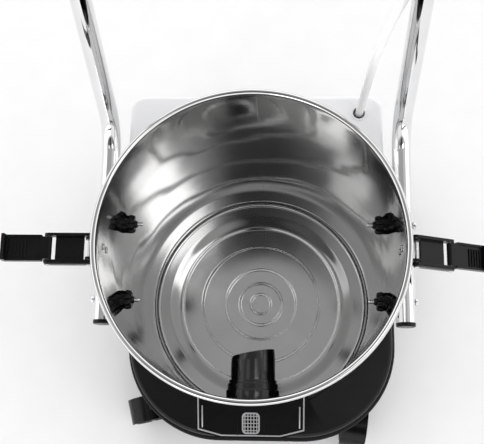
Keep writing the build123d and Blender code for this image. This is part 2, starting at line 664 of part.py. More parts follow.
def housing_badge():
    """Blank grille badge: a rounded frame with crossed bars."""
    frame = RectangleRounded(BADGE_W, BADGE_D, BADGE_R)
    window = RectangleRounded(BADGE_W - 4, BADGE_D - 4, BADGE_R - 2)
    bars = Sketch()
    for index in range(1, BADGE_BARS + 1):
        share = index / (BADGE_BARS + 1) - 0.5
        bars += Pos(share * BADGE_W, 0) * Rectangle(BADGE_BAR, BADGE_D)
        bars += Pos(0, share * BADGE_D) * Rectangle(BADGE_W, BADGE_BAR)
    grille = (frame - window) + (bars & window)
    column = Pos(0, -BADGE_Y, INLET_Z) * extrude(grille, 3 * HOUSING_UP)
    return column & housing_slice(SEAT_GAP / 2, BADGE_PROUD)


# ---- solution tank ------------------------------------------------------
def tank_plan(inset):
    """Plan of the tank: a block hollowed to follow the drum."""
    depth = TANK_REAR - TANK_FRONT - 2 * inset
    block = Pos(0, (TANK_REAR + TANK_FRONT) / 2) * Rectangle(2 * (TANK_HALF_W - inset), depth)
    block = fillet(block.vertices().group_by(Axis.Y)[-1], TANK_CORNER_R - inset)
    block = fillet(block.vertices().group_by(Axis.Y)[0], TANK_NOSE_R - inset)
    return block - Circle(DRUM_OUT + TANK_GAP + inset)


def solution_tank():
    """Blow-moulded tank, with a hole in its top for the hose."""
    height = TANK_TOP - BASE_TOP
    tank = Pos(0, 0, BASE_TOP) * extrude(tank_plan(0), height)
    tank = fillet(tank.edges().group_by(Axis.Z)[-1], TANK_EDGE_R)
    tank -= Pos(0, 0, BASE_TOP + TANK_SKIN) * extrude(tank_plan(TANK_SKIN), height - 2 * TANK_SKIN)
    return tank - disc(HOLE_R, TANK_TOP - 2 * TANK_SKIN, TANK_TOP + 1, HOLE_X, HOLE_Y)


# ---- solution hose ------------------------------------------------------
def riser_point(height, off):
    """A point at a distance behind the right riser's axis, measured square to it."""
    rake = radians(TUBE_RAKE)
    y = TUBE_BEND_Y + (height - TUBE_Z) / tan(rake)
    return (TUBE_X, y + off * sin(rake), height - off * cos(rake))


def hose_points():
    """Route of the hose: up out of the tank, over to the right riser and along its back."""
    return [
        (HOLE_X, HOLE_Y, TANK_TOP - HOSE_DIP),
        (HOLE_X + 1.5, HOLE_Y + 2, TANK_TOP + 20),
        (161, 243, 660),
        (168, 262, 715),
        (184, 287, 765),
        (204, 311, 806),
        riser_point(864, HOSE_OFF_TUBE),
        riser_point(912, HOSE_OFF_TUBE),
    ]


def hose():
    """The hose as straight runs joined by tangent arcs."""
    points = [Vector(*point) for point in hose_points()]
    path = None
    entry = points[0]
    for before, here, after in zip(points, points[1:], points[2:]):
        run_in = here - before
        run_out = after - here
        reach = 0.45 * min(run_in.length, run_out.length)
        leave = here - run_in.normalized() * reach
        meet = here + run_out.normalized() * reach
        arc = TangentArc(leave, meet, tangent=run_in)
        piece = Line(entry, leave) + arc
        path = piece if path is None else path + piece
        entry = meet
    path = path + Line(entry, points[-1])
    start = Plane(origin=points[0], z_dir=points[1] - points[0])
    return sweep(start * Circle(HOSE_R), path=Wire(path.edges()))


def riser_plane(height):
    """Plane square to the right riser, +Y pointing to its back."""
    rake = radians(TUBE_RAKE)
    return Plane(origin=riser_point(height, 0), z_dir=(0, cos(rake), sin(rake)), x_dir=(1, 0, 0))


def hose_clip():
    """Figure-eight clip that holds the hose behind the riser."""
    loops = Circle(TUBE_R + SEAT_GAP + CLIP_SKIN)
    loops += Pos(0, HOSE_OFF_TUBE) * Circle(HOSE_R + SEAT_GAP + CLIP_SKIN)
    loops += Pos(0, HOSE_OFF_TUBE / 2) * Rectangle(2 * HOSE_R, HOSE_OFF_TUBE)
    loops -= Circle(TUBE_R + SEAT_GAP)
    loops -= Pos(0, HOSE_OFF_TUBE) * Circle(HOSE_R + SEAT_GAP)
    return extrude(riser_plane(CLIP_HEIGHT) * loops, CLIP_LENGTH / 2, both=True)


def hose_coupling():
    """Quick coupling on the hose's end."""
    end = Vector(*hose_points()[-1])
    run = end - Vector(*hose_points()[-2])
    start = Plane(origin=end, z_dir=run)
    body = extrude(start * Circle(COUPLING_R), 0.35 * COUPLING_LENGTH)
    body += extrude(start * Circle(COUPLING_R - 2), COUPLING_LENGTH)
    collar = start.offset(0.55 * COUPLING_LENGTH)
    body += extrude(collar * Circle(COUPLING_R + COLLAR_PROUD), 0.25 * COUPLING_LENGTH)
    return body - extrude(start.offset(0.4 * COUPLING_LENGTH) * Circle(SOCKET_R), COUPLING_LENGTH)


def all_nodes():
    """Every sub-part by its node's name, about the drum's axis."""
    nodes = {
        "drum_shell": drum_shell(),
        "drum_floor": drum_floor(),
        "base_shell": base_shell(),
        "base_bumper": base_bumper(),
        "push_handle": push_handle(),
        "inlet_elbow": inlet_elbow(),
        "inlet_nut": inlet_nut(),
        "inlet_gasket": inlet_gasket(),
        "inlet_housing": inlet_housing(),
        "housing_trim": housing_trim(),
        "housing_badge": housing_badge(),
        "solution_tank": solution_tank(),
        "hose": hose(),
        "hose_clip": hose_clip(),
        "hose_coupling": hose_coupling(),
    }
    for name, side in SIDES.items():
        nodes[f"handle_plug_{name}"] = handle_plug(side)
        nodes[f"latch_bracket_{name}"] = latch_bracket(side)
        nodes[f"latch_rivets_{name}"] = latch_rivets(side)
        nodes[f"latch_pin_{name}"] = place_latch(latch_pin(), name)
        nodes[f"latch_link_{name}"] = place_latch(latch_link(), name)
        nodes[f"latch_strap_{name}"] = place_latch(latch_strap(), name)
        nodes[f"lever_pin_{name}"] = place_latch(lever_pin(), name)
        nodes[f"latch_lever_{name}"] = place_latch(latch_lever(), name)
        for place, y in (("front", -BOLT_Y), ("rear", BOLT_Y)):
            nodes[f"handle_bolt_{place}_{name}"] = handle_bolt(side, y)
            nodes[f"handle_spacer_{place}_{name}"] = handle_spacer(side, y)
            nodes[f"knob_seat_{place}_{name}"] = knob_seat(side, y)
            nodes[f"star_knob_{place}_{name}"] = star_knob(side, y)
    for corner in CORNERS:
        nodes[f"caster_fork_{corner}"] = place_caster(caster_fork(), corner)
        nodes[f"caster_wheels_{corner}"] = place_caster(caster_wheels(), corner)
        nodes[f"caster_axle_{corner}"] = place_caster(caster_axle(), corner)
    return nodes


def main():
    """Moves every node to the common origin and writes one STEP for each."""
    os.makedirs("parts", exist_ok=True)
    nodes = all_nodes()
    on_hose = ("hose", "hose_coupling")
    box = Compound([node for name, node in nodes.items() if name not in on_hose]).bounding_box()
    to_origin = Pos(-(box.min.X + box.max.X) / 2, -(box.min.Y + box.max.Y) / 2, 0)
    print("moved by", to_origin.position)
    for name, node in nodes.items():
        export_step(to_origin * node, f"parts/{name}.step")


main()
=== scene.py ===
"""Visual model of an open wet vacuum drum on its trolley.

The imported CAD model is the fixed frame. Every piece here is placed from it, in metres, and rides on
one of its bodies. Round and swept pieces are surfaces worked out with numpy; moulded pieces whose CAD
shape is right are softened copies of their nodes.
"""

from __future__ import annotations

import json
import logging
import math
from dataclasses import dataclass, field
from enum import Enum
from typing import Sequence

import bmesh
import bpy
import numpy as np
from mathutils import Euler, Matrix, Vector


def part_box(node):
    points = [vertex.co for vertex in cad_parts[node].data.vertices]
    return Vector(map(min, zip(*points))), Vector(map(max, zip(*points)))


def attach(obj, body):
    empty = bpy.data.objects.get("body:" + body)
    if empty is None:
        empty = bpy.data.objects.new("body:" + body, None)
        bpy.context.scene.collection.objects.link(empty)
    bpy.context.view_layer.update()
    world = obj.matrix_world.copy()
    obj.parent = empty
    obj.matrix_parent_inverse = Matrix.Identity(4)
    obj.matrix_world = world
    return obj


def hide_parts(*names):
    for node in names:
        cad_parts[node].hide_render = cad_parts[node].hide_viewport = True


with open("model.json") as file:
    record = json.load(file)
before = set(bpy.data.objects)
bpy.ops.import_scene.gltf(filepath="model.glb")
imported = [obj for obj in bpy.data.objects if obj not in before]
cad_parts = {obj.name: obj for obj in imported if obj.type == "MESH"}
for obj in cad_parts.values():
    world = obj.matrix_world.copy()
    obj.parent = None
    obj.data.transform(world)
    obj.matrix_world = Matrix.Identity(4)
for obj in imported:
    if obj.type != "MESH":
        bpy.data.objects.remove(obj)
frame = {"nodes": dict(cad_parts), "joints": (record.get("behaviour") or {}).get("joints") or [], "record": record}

LOG = logging.getLogger("wet_vacuum")
MM = 0.001
TURN = 2.0 * math.pi
SIDES = {"left": -1.0, "right": 1.0}
CORNERS = ("front_left", "front_right", "rear_left", "rear_right")


# ---- Frame helpers
def low(node: str) -> np.ndarray:
    """Lowest corner of a CAD node, in metres."""
    return np.array(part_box(node)[0])


def high(node: str) -> np.ndarray:
    """Highest corner of a CAD node, in metres."""
    return np.array(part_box(node)[1])


def middle(node: str) -> np.ndarray:
    """Centre of a CAD node's box, in metres."""
    return (low(node) + high(node)) / 2.0


def body_of_node(node: str) -> str:
    """Name of the body that a CAD node belongs to."""
    for body, members in frame["record"]["behaviour"]["bodies"].items():
        if node in members:
            return body
    raise KeyError(node)


def joint(name: str) -> dict:
    """The record's entry for a joint."""
    return next(entry for entry in frame["joints"] if entry["name"] == name)


# ---- Surfaces
class Cap(Enum):
    """How an open end of a grid is closed."""

    OPEN = 0
    FAN = 1


def unit(vector: Sequence[float]) -> np.ndarray:
    """The vector scaled to length one."""
    array = np.asarray(vector, float)
    return array / np.linalg.norm(array)


def basis(axis: Sequence[float], hint: Sequence[float] = (0.0, 0.0, 1.0)) -> tuple[np.ndarray, np.ndarray]:
    """Two directions square to an axis and to each other.

    Args:
        axis: The direction to be square to.
        hint: Roughly where the second direction should point.

    Returns:
        The first and the second direction, right-handed with the axis.
    """
    along = unit(axis)
    guide = np.asarray(hint, float)
    if abs(along @ unit(guide)) > 0.95:
        guide = np.array((1.0, 0.0, 0.0))
    first = unit(np.cross(guide, along))
    return first, np.cross(along, first)


def finish_mesh(mesh: bpy.types.Mesh, crease: float, weld: float = 1e-7) -> None:
    """Welds doubled points, turns the faces outwards and shades them smooth up to a crease angle.

    Args:
        mesh: The mesh to finish.
        crease: Angle in degrees past which an edge stays sharp.
        weld: Distance in metres under which two points are one.
    """
    work = bmesh.new()
    work.from_mesh(mesh)
    bmesh.ops.remove_doubles(work, verts=work.verts, dist=weld)
    bmesh.ops.recalc_face_normals(work, faces=work.faces)
    work.to_mesh(mesh)
    work.free()
    mesh.polygons.foreach_set("use_smooth", np.ones(len(mesh.polygons), bool))
    mesh.set_sharp_from_angle(angle=math.radians(crease))
    mesh.update()


def grid_piece(
    name: str,
    points: np.ndarray,
    rows_closed: bool = False,
    start: Cap = Cap.FAN,
    end: Cap = Cap.FAN,
    crease: float = 38.0,
) -> bpy.types.Object:
    """Makes a piece from a grid of points whose columns run round it.

    Row i and column j is point p(i, j). Each quad joins (i, j), (i, j+1), (i+1, j+1), (i+1, j), with
    the columns always closed. Its UV is the share of the way round and the length along the rows.

    Args:
        name: Name of the new object.
        points: Array of shape (rows, columns, 3), in metres.
        rows_closed: Whether the last row joins the first, as on a ring.
        start: How the first row is closed when the rows are open.
        end: How the last row is closed when the rows are open.
        crease: Angle in degrees past which an edge stays sharp.

    Returns:
        The new object, at the origin.
    """
    rows, columns = points.shape[:2]
    span = rows if rows_closed else rows - 1
    i, j = np.meshgrid(np.arange(span), np.arange(columns), indexing="ij")
    below, beside = (i + 1) % rows, (j + 1) % columns
    this, that = i * columns, below * columns
    quads = np.stack([this + j, this + beside, that + beside, that + j], -1)
    steps = np.linalg.norm(np.diff(points, axis=0, append=points[:1]), axis=2).mean(1)
    reach = np.concatenate([[0.0], np.cumsum(steps)])
    share = np.stack([j, j + 1, j + 1, j], -1) / columns
    length = np.stack([reach[i], reach[i], reach[i + 1], reach[i + 1]], -1)
    corners = np.stack([share, length], -1).reshape(-1, 2)
    vertices = points.reshape(-1, 3)
    faces = quads.reshape(-1, 4).tolist()
    for cap, row, order in ((start, 0, -1), (end, rows - 1, 1)):
        if rows_closed or cap is Cap.OPEN:
            continue
        pole = len(vertices)
        vertices = np.vstack([vertices, points[row].mean(0)])
        ring = row * columns + np.arange(columns)
        ring = ring[::order]
        fan = np.stack([ring, np.roll(ring, -1), np.full(columns, pole)], -1)
        faces += fan.tolist()
        flat = np.full((columns * 3, 2), reach[row])
        corners = np.vstack([corners, flat])
    mesh = bpy.data.meshes.new(name)
    mesh.from_pydata(vertices.tolist(), [], faces)
    layer = mesh.uv_layers.new(name="run")
    layer.data.foreach_set("uv", corners.astype(np.float32).ravel())
    finish_mesh(mesh, crease)
    piece = bpy.data.objects.new(name, mesh)
    bpy.context.scene.collection.objects.link(piece)
    return piece


def lathe(
    name: str,
    profile: np.ndarray,
    origin: Sequence[float],
    axis: Sequence[float],
    segments: int = 64,
    closed: bool = False,
    crease: float = 38.0,
    end: Cap = Cap.FAN,
) -> bpy.types.Object:
    """Turns a profile about an axis: p(s, t) = origin + h(s) axis + r(s) (cos t first + sin t second).

    Args:
        name: Name of the new object.
        profile: Array of (radius, height along the axis), in metres.
        origin: Point on the axis where the height is zero.
        axis: Direction of the axis.
        segments: Number of steps round.
        closed: Whether the profile is a closed loop, as on a ring.
        crease: Angle in degrees past which an edge stays sharp.
        end: How an open profile is closed at its last point.

    Returns:
        The new object.
    """
    first, second = basis(axis)
    angle = np.arange(segments) / segments * TURN
    round_it = np.cos(angle)[:, None] * first + np.sin(angle)[:, None] * second
    radius, height = profile[:, 0], profile[:, 1]
    points = np.asarray(origin) + height[:, None, None] * unit(axis) + radius[:, None, None] * round_it
    return grid_piece(name, points, rows_closed=closed, end=end, crease=crease)


def arc(centre: Sequence[float], radius: float, start: float, end: float, steps: int = 8) -> np.ndarray:
    """Points on an arc in a profile plane, from one angle in degrees to another."""
    angle = np.radians(np.linspace(start, end, steps + 1))
    return np.stack([centre[0] + radius * np.cos(angle), centre[1] + radius * np.sin(angle)], -1)


def rounded_profile(corners: Sequence[tuple[float, float, float]], steps: int = 5) -> np.ndarray:
    """A polyline with each corner rounded by a quadratic curve that leaves and meets its two runs.

    Args:
        corners: (first, second, rounding) of each point; the two ends are not rounded.
        steps: Pieces in each rounded corner.

    Returns:
        Array of points.
    """
    table = np.asarray(corners, float)
    points = [table[0, :2]]
    for before, here, after in zip(table, table[1:], table[2:]):
        run_in, run_out = before[:2] - here[:2], after[:2] - here[:2]
        reach = min(here[2], 0.49 * np.linalg.norm(run_in), 0.49 * np.linalg.norm(run_out))
        if reach <= 0.0:
            points.append(here[:2])
            continue
        leave, meet = here[:2] + unit(run_in) * reach, here[:2] + unit(run_out) * reach
        t = np.linspace(0.0, 1.0, steps + 1)[:, None]
        points += list((1 - t) ** 2 * leave + 2 * t * (1 - t) * here[:2] + t**2 * meet)
    points.append(table[-1, :2])
    return np.array(points)


def filleted_path(corners: np.ndarray, radius: float, step: float = 0.006) -> np.ndarray:
    """A path of straight runs joined by tangent arcs.

    Args:
        corners: Corner points, in metres.
        radius: Radius of every arc.
        step: Largest distance between points on the arcs.

    Returns:
        Array of points along the path.
    """
    points = [corners[0]]
    for before, here, after in zip(corners, corners[1:], corners[2:]):
        run_in, run_out = unit(here - before), unit(after - here)
        bend = math.acos(float(np.clip(run_in @ run_out, -1.0, 1.0)))
        leave = here - run_in * radius * math.tan(bend / 2)
        inward = unit(run_out - run_in * (run_in @ run_out))
        count = max(6, int(radius * bend / step))
        turn = np.linspace(0.0, bend, count)[:, None]
        points += list(leave + radius * (np.sin(turn) * run_in + (1 - np.cos(turn)) * inward))
    points.append(corners[-1])
    return np.array(points)


def carried(path: np.ndarray) -> tuple[np.ndarray, np.ndarray]:
    """Frames carried along a path without twist.

    Args:
        path: Points of the path.

    Returns:
        The first and second directions square to the path at each point.
    """
    along = np.gradient(path, axis=0)
    along /= np.linalg.norm(along, axis=1)[:, None]
    first = np.empty_like(path)
    first[0] = basis(along[0])[0]
    for index in range(1, len(path)):
        moved = first[index - 1] - along[index] * (first[index - 1] @ along[index])
        first[index] = unit(moved)
    return first, np.cross(along, first)


def swept(name: str, path: np.ndarray, section: np.ndarray, crease: float = 38.0) -> bpy.types.Object:
    """Carries a closed section along a path: p(s, t) = path(s) + x(t) first(s) + y(t) second(s)."""
    first, second = carried(path)
    across, up = section[None, :, :1], section[None, :, 1:]
    points = path[:, None, :] + across * first[:, None, :] + up * second[:, None, :]
    return grid_piece(name, points, crease=crease)


def circle(radius: float, segments: int = 48) -> np.ndarray:
    """Points of a circle in a section plane."""
    angle = np.arange(segments) / segments * TURN
    return radius * np.stack([np.cos(angle), np.sin(angle)], -1)


def rounded_block(
    name: str,
    centre: Sequence[float],
    half: Sequence[float],
    rounding: float,
    axes: np.ndarray | None = None,
    steps: int = 4,
) -> bpy.types.Object:
    """A block with all edges rounded: p = centre + sign(n) (half - rounding) + rounding n.

    n runs over a sphere, and each quarter line of the sphere is doubled so that the flat faces open
    up between the eight rounded corners.

    Args:
        name: Name of the new object.
        centre: Centre of the block.
        half: Half sizes along its three axes.
        rounding: Radius of the edges.
        axes: Rows are the block's three directions; the frame's own if left out.
        steps: Pieces in each quarter turn.

    Returns:
        The new object.
    """
    quarter = np.linspace(0.0, math.pi / 2, steps + 1)
    round_angle = np.concatenate([quarter + k * math.pi / 2 for k in range(4)])
    round_sign = np.repeat([[1, 1], [-1, 1], [-1, -1], [1, -1]], steps + 1, axis=0)
    rise_angle = np.concatenate([quarter - math.pi / 2, quarter])
    rise_sign = np.repeat([-1, 1], steps + 1)
    normal = np.stack(
        [
            np.cos(rise_angle)[:, None] * np.cos(round_angle)[None, :],
            np.cos(rise_angle)[:, None] * np.sin(round_angle)[None, :],
            np.sin(rise_angle)[:, None] * np.ones_like(round_angle)[None, :],
        ],
        -1,
    )
    sign = np.empty_like(normal)
    sign[..., 0] = round_sign[None, :, 0]
    sign[..., 1] = round_sign[None, :, 1]
    sign[..., 2] = rise_sign[:, None]
    local = sign * (np.asarray(half) - rounding) + rounding * normal
    turned = local if axes is None else local @ axes
    return grid_piece(name, np.asarray(centre) + turned, crease=50.0)


def softened_copy(node: str, bevel: float, crease: float = 30.0, segments: int = 2) -> bpy.types.Object:
    """A copy of a CAD node with its points merged and its edges rounded.

    Args:
        node: The CAD node that the copy stands for.
        bevel: Width of the rounded edges in metres; none if zero.
        crease: Angle in degrees past which an edge is rounded.
        segments: Steps across a rounded edge.

    Returns:
        The new object, which replaces the node and rides on its body.
    """
    mesh = frame["nodes"][node].data.copy()
    mesh.materials.clear()
    work = bmesh.new()
    work.from_mesh(mesh)
    bmesh.ops.remove_doubles(work, verts=work.verts, dist=2e-6)
    bmesh.ops.dissolve_limit(
        work, angle_limit=math.radians(0.6), use_dissolve_boundaries=False, verts=work.verts, edges=work.edges
    )
    work.to_mesh(mesh)
    work.free()
    mesh.polygons.foreach_set("use_smooth", np.ones(len(mesh.polygons), bool))
    mesh.set_sharp_from_angle(angle=math.radians(crease))
    piece = bpy.data.objects.new(f"{node}_skin", mesh)
    bpy.context.scene.collection.objects.link(piece)
    if bevel > 0:
        edge = piece.modifiers.new("edge", "BEVEL")
        edge.width = bevel
        edge.segments = segments
        edge.limit_method = "ANGLE"
        edge.angle_limit = math.radians(crease)
        edge.harden_normals = True
        edge.use_clamp_overlap = True
    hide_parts(node)
    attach(piece, body_of_node(node))
    return piece


# ---- Finishes
Tree = bpy.types.NodeTree
Socket = bpy.types.NodeSocket
Scale = float | tuple[float, float, float]

NOISE_MIDDLE = (0.3, 0.7)
LEAST_ROUGHNESS = 0.02
SCATTER_RADIUS = 0.02
SCATTER_SCALE = 0.3


class Space(Enum):
    """Which coordinates a finish's pattern reads."""

    OBJECT = "Object"
    RUN = "UV"


def ranged(
    tree: Tree, value: Socket, source: tuple[float, float], target: tuple[float, float], smooth: bool = False
) -> Socket:
    """Maps a value from one range onto another.

    Args:
        tree: The node tree to work in.
        value: The socket that gives the value.
        source: Ends of the range that the value is read in.
        target: Ends of the range that it is mapped onto.
        smooth: Whether both ends are eased.

    Returns:
        The socket that gives the mapped value.
    """
    step = tree.nodes.new("ShaderNodeMapRange")
    step.interpolation_type = "SMOOTHSTEP" if smooth else "LINEAR"
    for name, number in zip(("From Min", "From Max", "To Min", "To Max"), (*source, *target)):
        step.inputs[name].default_value = number
    tree.links.new(value, step.inputs["Value"])
    return step.outputs["Result"]


@dataclass(frozen=True)
class Finish:
    """A surface finish: a base colour, soft marks and a fine grain.

    Scales are in repeats per metre, one for all axes or one for each, and depths are in metres.
    """

    name: str
    colour: tuple[float, float, float]
    metallic: float = 0.0
    roughness: float = 0.4
    roughness_spread: float = 0.08
    tone_spread: float = 0.12
    mark_scale: Scale = 14.0
    grain_scale: Scale = 900.0
    grain_depth: float = 0.00003
    wave_scale: float = 0.0
    wave_depth: float = 0.0
    specular: float = 0.5
    coat: float = 0.0
    coat_roughness: float = 0.1
    subsurface: float = 0.0
    transmission: float = 0.0
    ior: float = 1.5
    space: Space = Space.OBJECT

    def _pattern(self, tree: Tree, scale: Scale, detail: float) -> Socket:
        """A noise in the finish's own coordinates, stretched by its scale."""
        place = tree.nodes.new("ShaderNodeTexCoord")
        mapping = tree.nodes.new("ShaderNodeMapping")
        mapping.inputs["Scale"].default_value = scale if isinstance(scale, tuple) else (scale,) * 3
        noise = tree.nodes.new("ShaderNodeTexNoise")
        noise.inputs["Scale"].default_value = 1.0
        noise.inputs["Detail"].default_value = detail
        tree.links.new(place.outputs[self.space.value], mapping.inputs["Vector"])
        tree.links.new(mapping.outputs["Vector"], noise.inputs["Vector"])
        return noise.outputs["Fac"]

    def material(self) -> bpy.types.Material:
        """The finish as a material, made once."""
        known = bpy.data.materials.get(self.name)
        if known is not None:
            return known
        made = bpy.data.materials.new(self.name)
        made.use_nodes = True
        tree = made.node_tree
        shader = tree.nodes["Principled BSDF"]
        shader.inputs["Metallic"].default_value = self.metallic
        shader.inputs["IOR"].default_value = self.ior
        shader.inputs["Specular IOR Level"].default_value = self.specular
        shader.inputs["Coat Weight"].default_value = self.coat
        shader.inputs["Coat Roughness"].default_value = self.coat_roughness
        shader.inputs["Subsurface Weight"].default_value = self.subsurface
        shader.inputs["Subsurface Radius"].default_value = (SCATTER_RADIUS,) * 3
        shader.inputs["Subsurface Scale"].default_value = SCATTER_SCALE
        shader.inputs["Transmission Weight"].default_value = self.transmission
        marks = self._pattern(tree, self.mark_scale, 3.0)
        grain = self._pattern(tree, self.grain_scale, 2.0)
        tone = tree.nodes.new("ShaderNodeMix")
        tone.data_type = "RGBA"
        base = np.array(self.colour)
        tone.inputs["A"].default_value = (*np.clip(base * (1 - self.tone_spread), 0, 1), 1)
        tone.inputs["B"].default_value = (*np.clip(base * (1 + self.tone_spread), 0, 1), 1)
        tree.links.new(ranged(tree, marks, NOISE_MIDDLE, (0.0, 1.0)), tone.inputs["Factor"])
        tree.links.new(tone.outputs["Result"], shader.inputs["Base Color"])
        least = max(LEAST_ROUGHNESS, self.roughness - self.roughness_spread)
        rough = ranged(tree, marks, NOISE_MIDDLE, (least, self.roughness + self.roughness_spread))
        tree.links.new(rough, shader.inputs["Roughness"])
        bump = tree.nodes.new("ShaderNodeBump")
        bump.inputs["Strength"].default_value = 1.0
        bump.inputs["Distance"].default_value = self.grain_depth
        tree.links.new(grain, bump.inputs["Height"])
        if self.wave_depth > 0:
            wave = tree.nodes.new("ShaderNodeBump")
            wave.inputs["Strength"].default_value = 1.0
            wave.inputs["Distance"].default_value = self.wave_depth
            swell = self._pattern(tree, self.wave_scale, 1.0)
            tree.links.new(swell, wave.inputs["Height"])
            tree.links.new(wave.outputs["Normal"], bump.inputs["Normal"])
        tree.links.new(bump.outputs["Normal"], shader.inputs["Normal"])
        return made


WALL_STEEL = Finish(
    "rolled_wall_steel", (0.60, 0.60, 0.595), metallic=1.0, roughness=0.06, roughness_spread=0.025,
    tone_spread=0.04, mark_scale=(5.0, 5.0, 9.0), grain_scale=(12.0, 12.0, 1600.0), grain_depth=0.000001,
    wave_scale=8.0, wave_depth=0.0011,
)
FLOOR_STEEL = Finish(
    "pressed_floor_steel", (0.62, 0.62, 0.615), metallic=1.0, roughness=0.13, roughness_spread=0.04,
    tone_spread=0.05, mark_scale=9.0, grain_scale=(3.0, 1700.0, 1.0), grain_depth=0.0000016, space=Space.RUN,
)
CHROME = Finish(
    "chromed_tube", (0.78, 0.785, 0.79), metallic=1.0, roughness=0.055, roughness_spread=0.03,
    tone_spread=0.03, mark_scale=20.0, grain_scale=60.0, grain_depth=0.000004,
)
ZINC = Finish(
    "zinc_plate", (0.58, 0.585, 0.6), metallic=1.0, roughness=0.24, roughness_spread=0.08,
    tone_spread=0.1, mark_scale=160.0, grain_scale=2500.0, grain_depth=0.00001,
)
SILVER = Finish(
    "satin_silver", (0.40, 0.40, 0.405), metallic=1.0, roughness=0.30, roughness_spread=0.05,
    tone_spread=0.06, grain_scale=(3000.0, 200.0, 200.0), grain_depth=0.000006,
)
BRASS = Finish(
    "turned_brass", (0.62, 0.43, 0.17), metallic=1.0, roughness=0.24, roughness_spread=0.08,
    tone_spread=0.12, mark_scale=120.0, grain_scale=(3.0, 2600.0, 1.0), grain_depth=0.000006, space=Space.RUN,
)
BLACK_MOULDING = Finish(
    "black_moulding", (0.0035, 0.0035, 0.004), roughness=0.25, roughness_spread=0.06, tone_spread=0.25,
    mark_scale=40.0, grain_scale=2600.0, grain_depth=0.00002, specular=0.2,
)
BASE_MOULDING = Finish(
    "charcoal_moulding", (0.0042, 0.0042, 0.0048), roughness=0.36, roughness_spread=0.07,
    tone_spread=0.18, mark_scale=18.0, grain_scale=1500.0, grain_depth=0.00006, specular=0.2,
)
GLOSS_BLACK = Finish(
    "polished_black", (0.0045, 0.0045, 0.005), roughness=0.16, roughness_spread=0.05, tone_spread=0.2,
    mark_scale=30.0, grain_scale=500.0, grain_depth=0.000008, specular=0.08,
)
DEFLECTOR_BLACK = Finish(
    "deflector_black", (0.0035, 0.0035, 0.004), roughness=0.15, roughness_spread=0.04, tone_spread=0.2,
    mark_scale=40.0, grain_scale=900.0, grain_depth=0.00001, specular=0.6,
)
BLACKED_STEEL = Finish(
    "blacked_steel", (0.03, 0.03, 0.032), roughness=0.34, roughness_spread=0.06, tone_spread=0.2,
    mark_scale=60.0, grain_scale=1800.0, grain_depth=0.00001, specular=0.5,
)
RUBBER = Finish(
    "soft_rubber", (0.009, 0.009, 0.0095), roughness=0.6, roughness_spread=0.1, tone_spread=0.3,
    mark_scale=50.0, grain_scale=1800.0, grain_depth=0.00008, specular=0.25,
)
MILKY_TANK = Finish(
    "milky_tank", (0.88, 0.885, 0.90), roughness=0.36, roughness_spread=0.06, tone_spread=0.015,
    mark_scale=(10.0, 10.0, 6.0), grain_scale=700.0, grain_depth=0.00006,
    subsurface=0.35, ior=1.48,
)
HOSE_VINYL = Finish(
    "milky_hose", (0.90, 0.91, 0.90), roughness=0.24, roughness_spread=0.05, tone_spread=0.03,
    mark_scale=(4.0, 60.0, 1.0), grain_scale=(60.0, 300.0, 1.0), grain_depth=0.00003,
    subsurface=0.4, transmission=0.08, ior=1.5, space=Space.RUN,
)


def dress(piece: bpy.types.Object, finish: Finish) -> bpy.types.Object:
    """Gives a piece its finish."""
    piece.data.materials.clear()
    piece.data.materials.append(finish.material())
    return piece


def mount_on(piece: bpy.types.Object, body: str, *nodes: str) -> bpy.types.Object:
    """Makes a piece ride on a body, in place of the CAD nodes that are named."""
    if nodes:
        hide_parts(*nodes)
    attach(piece, body)
    LOG.info("%s rides on %s", piece.name, body)
    return piece


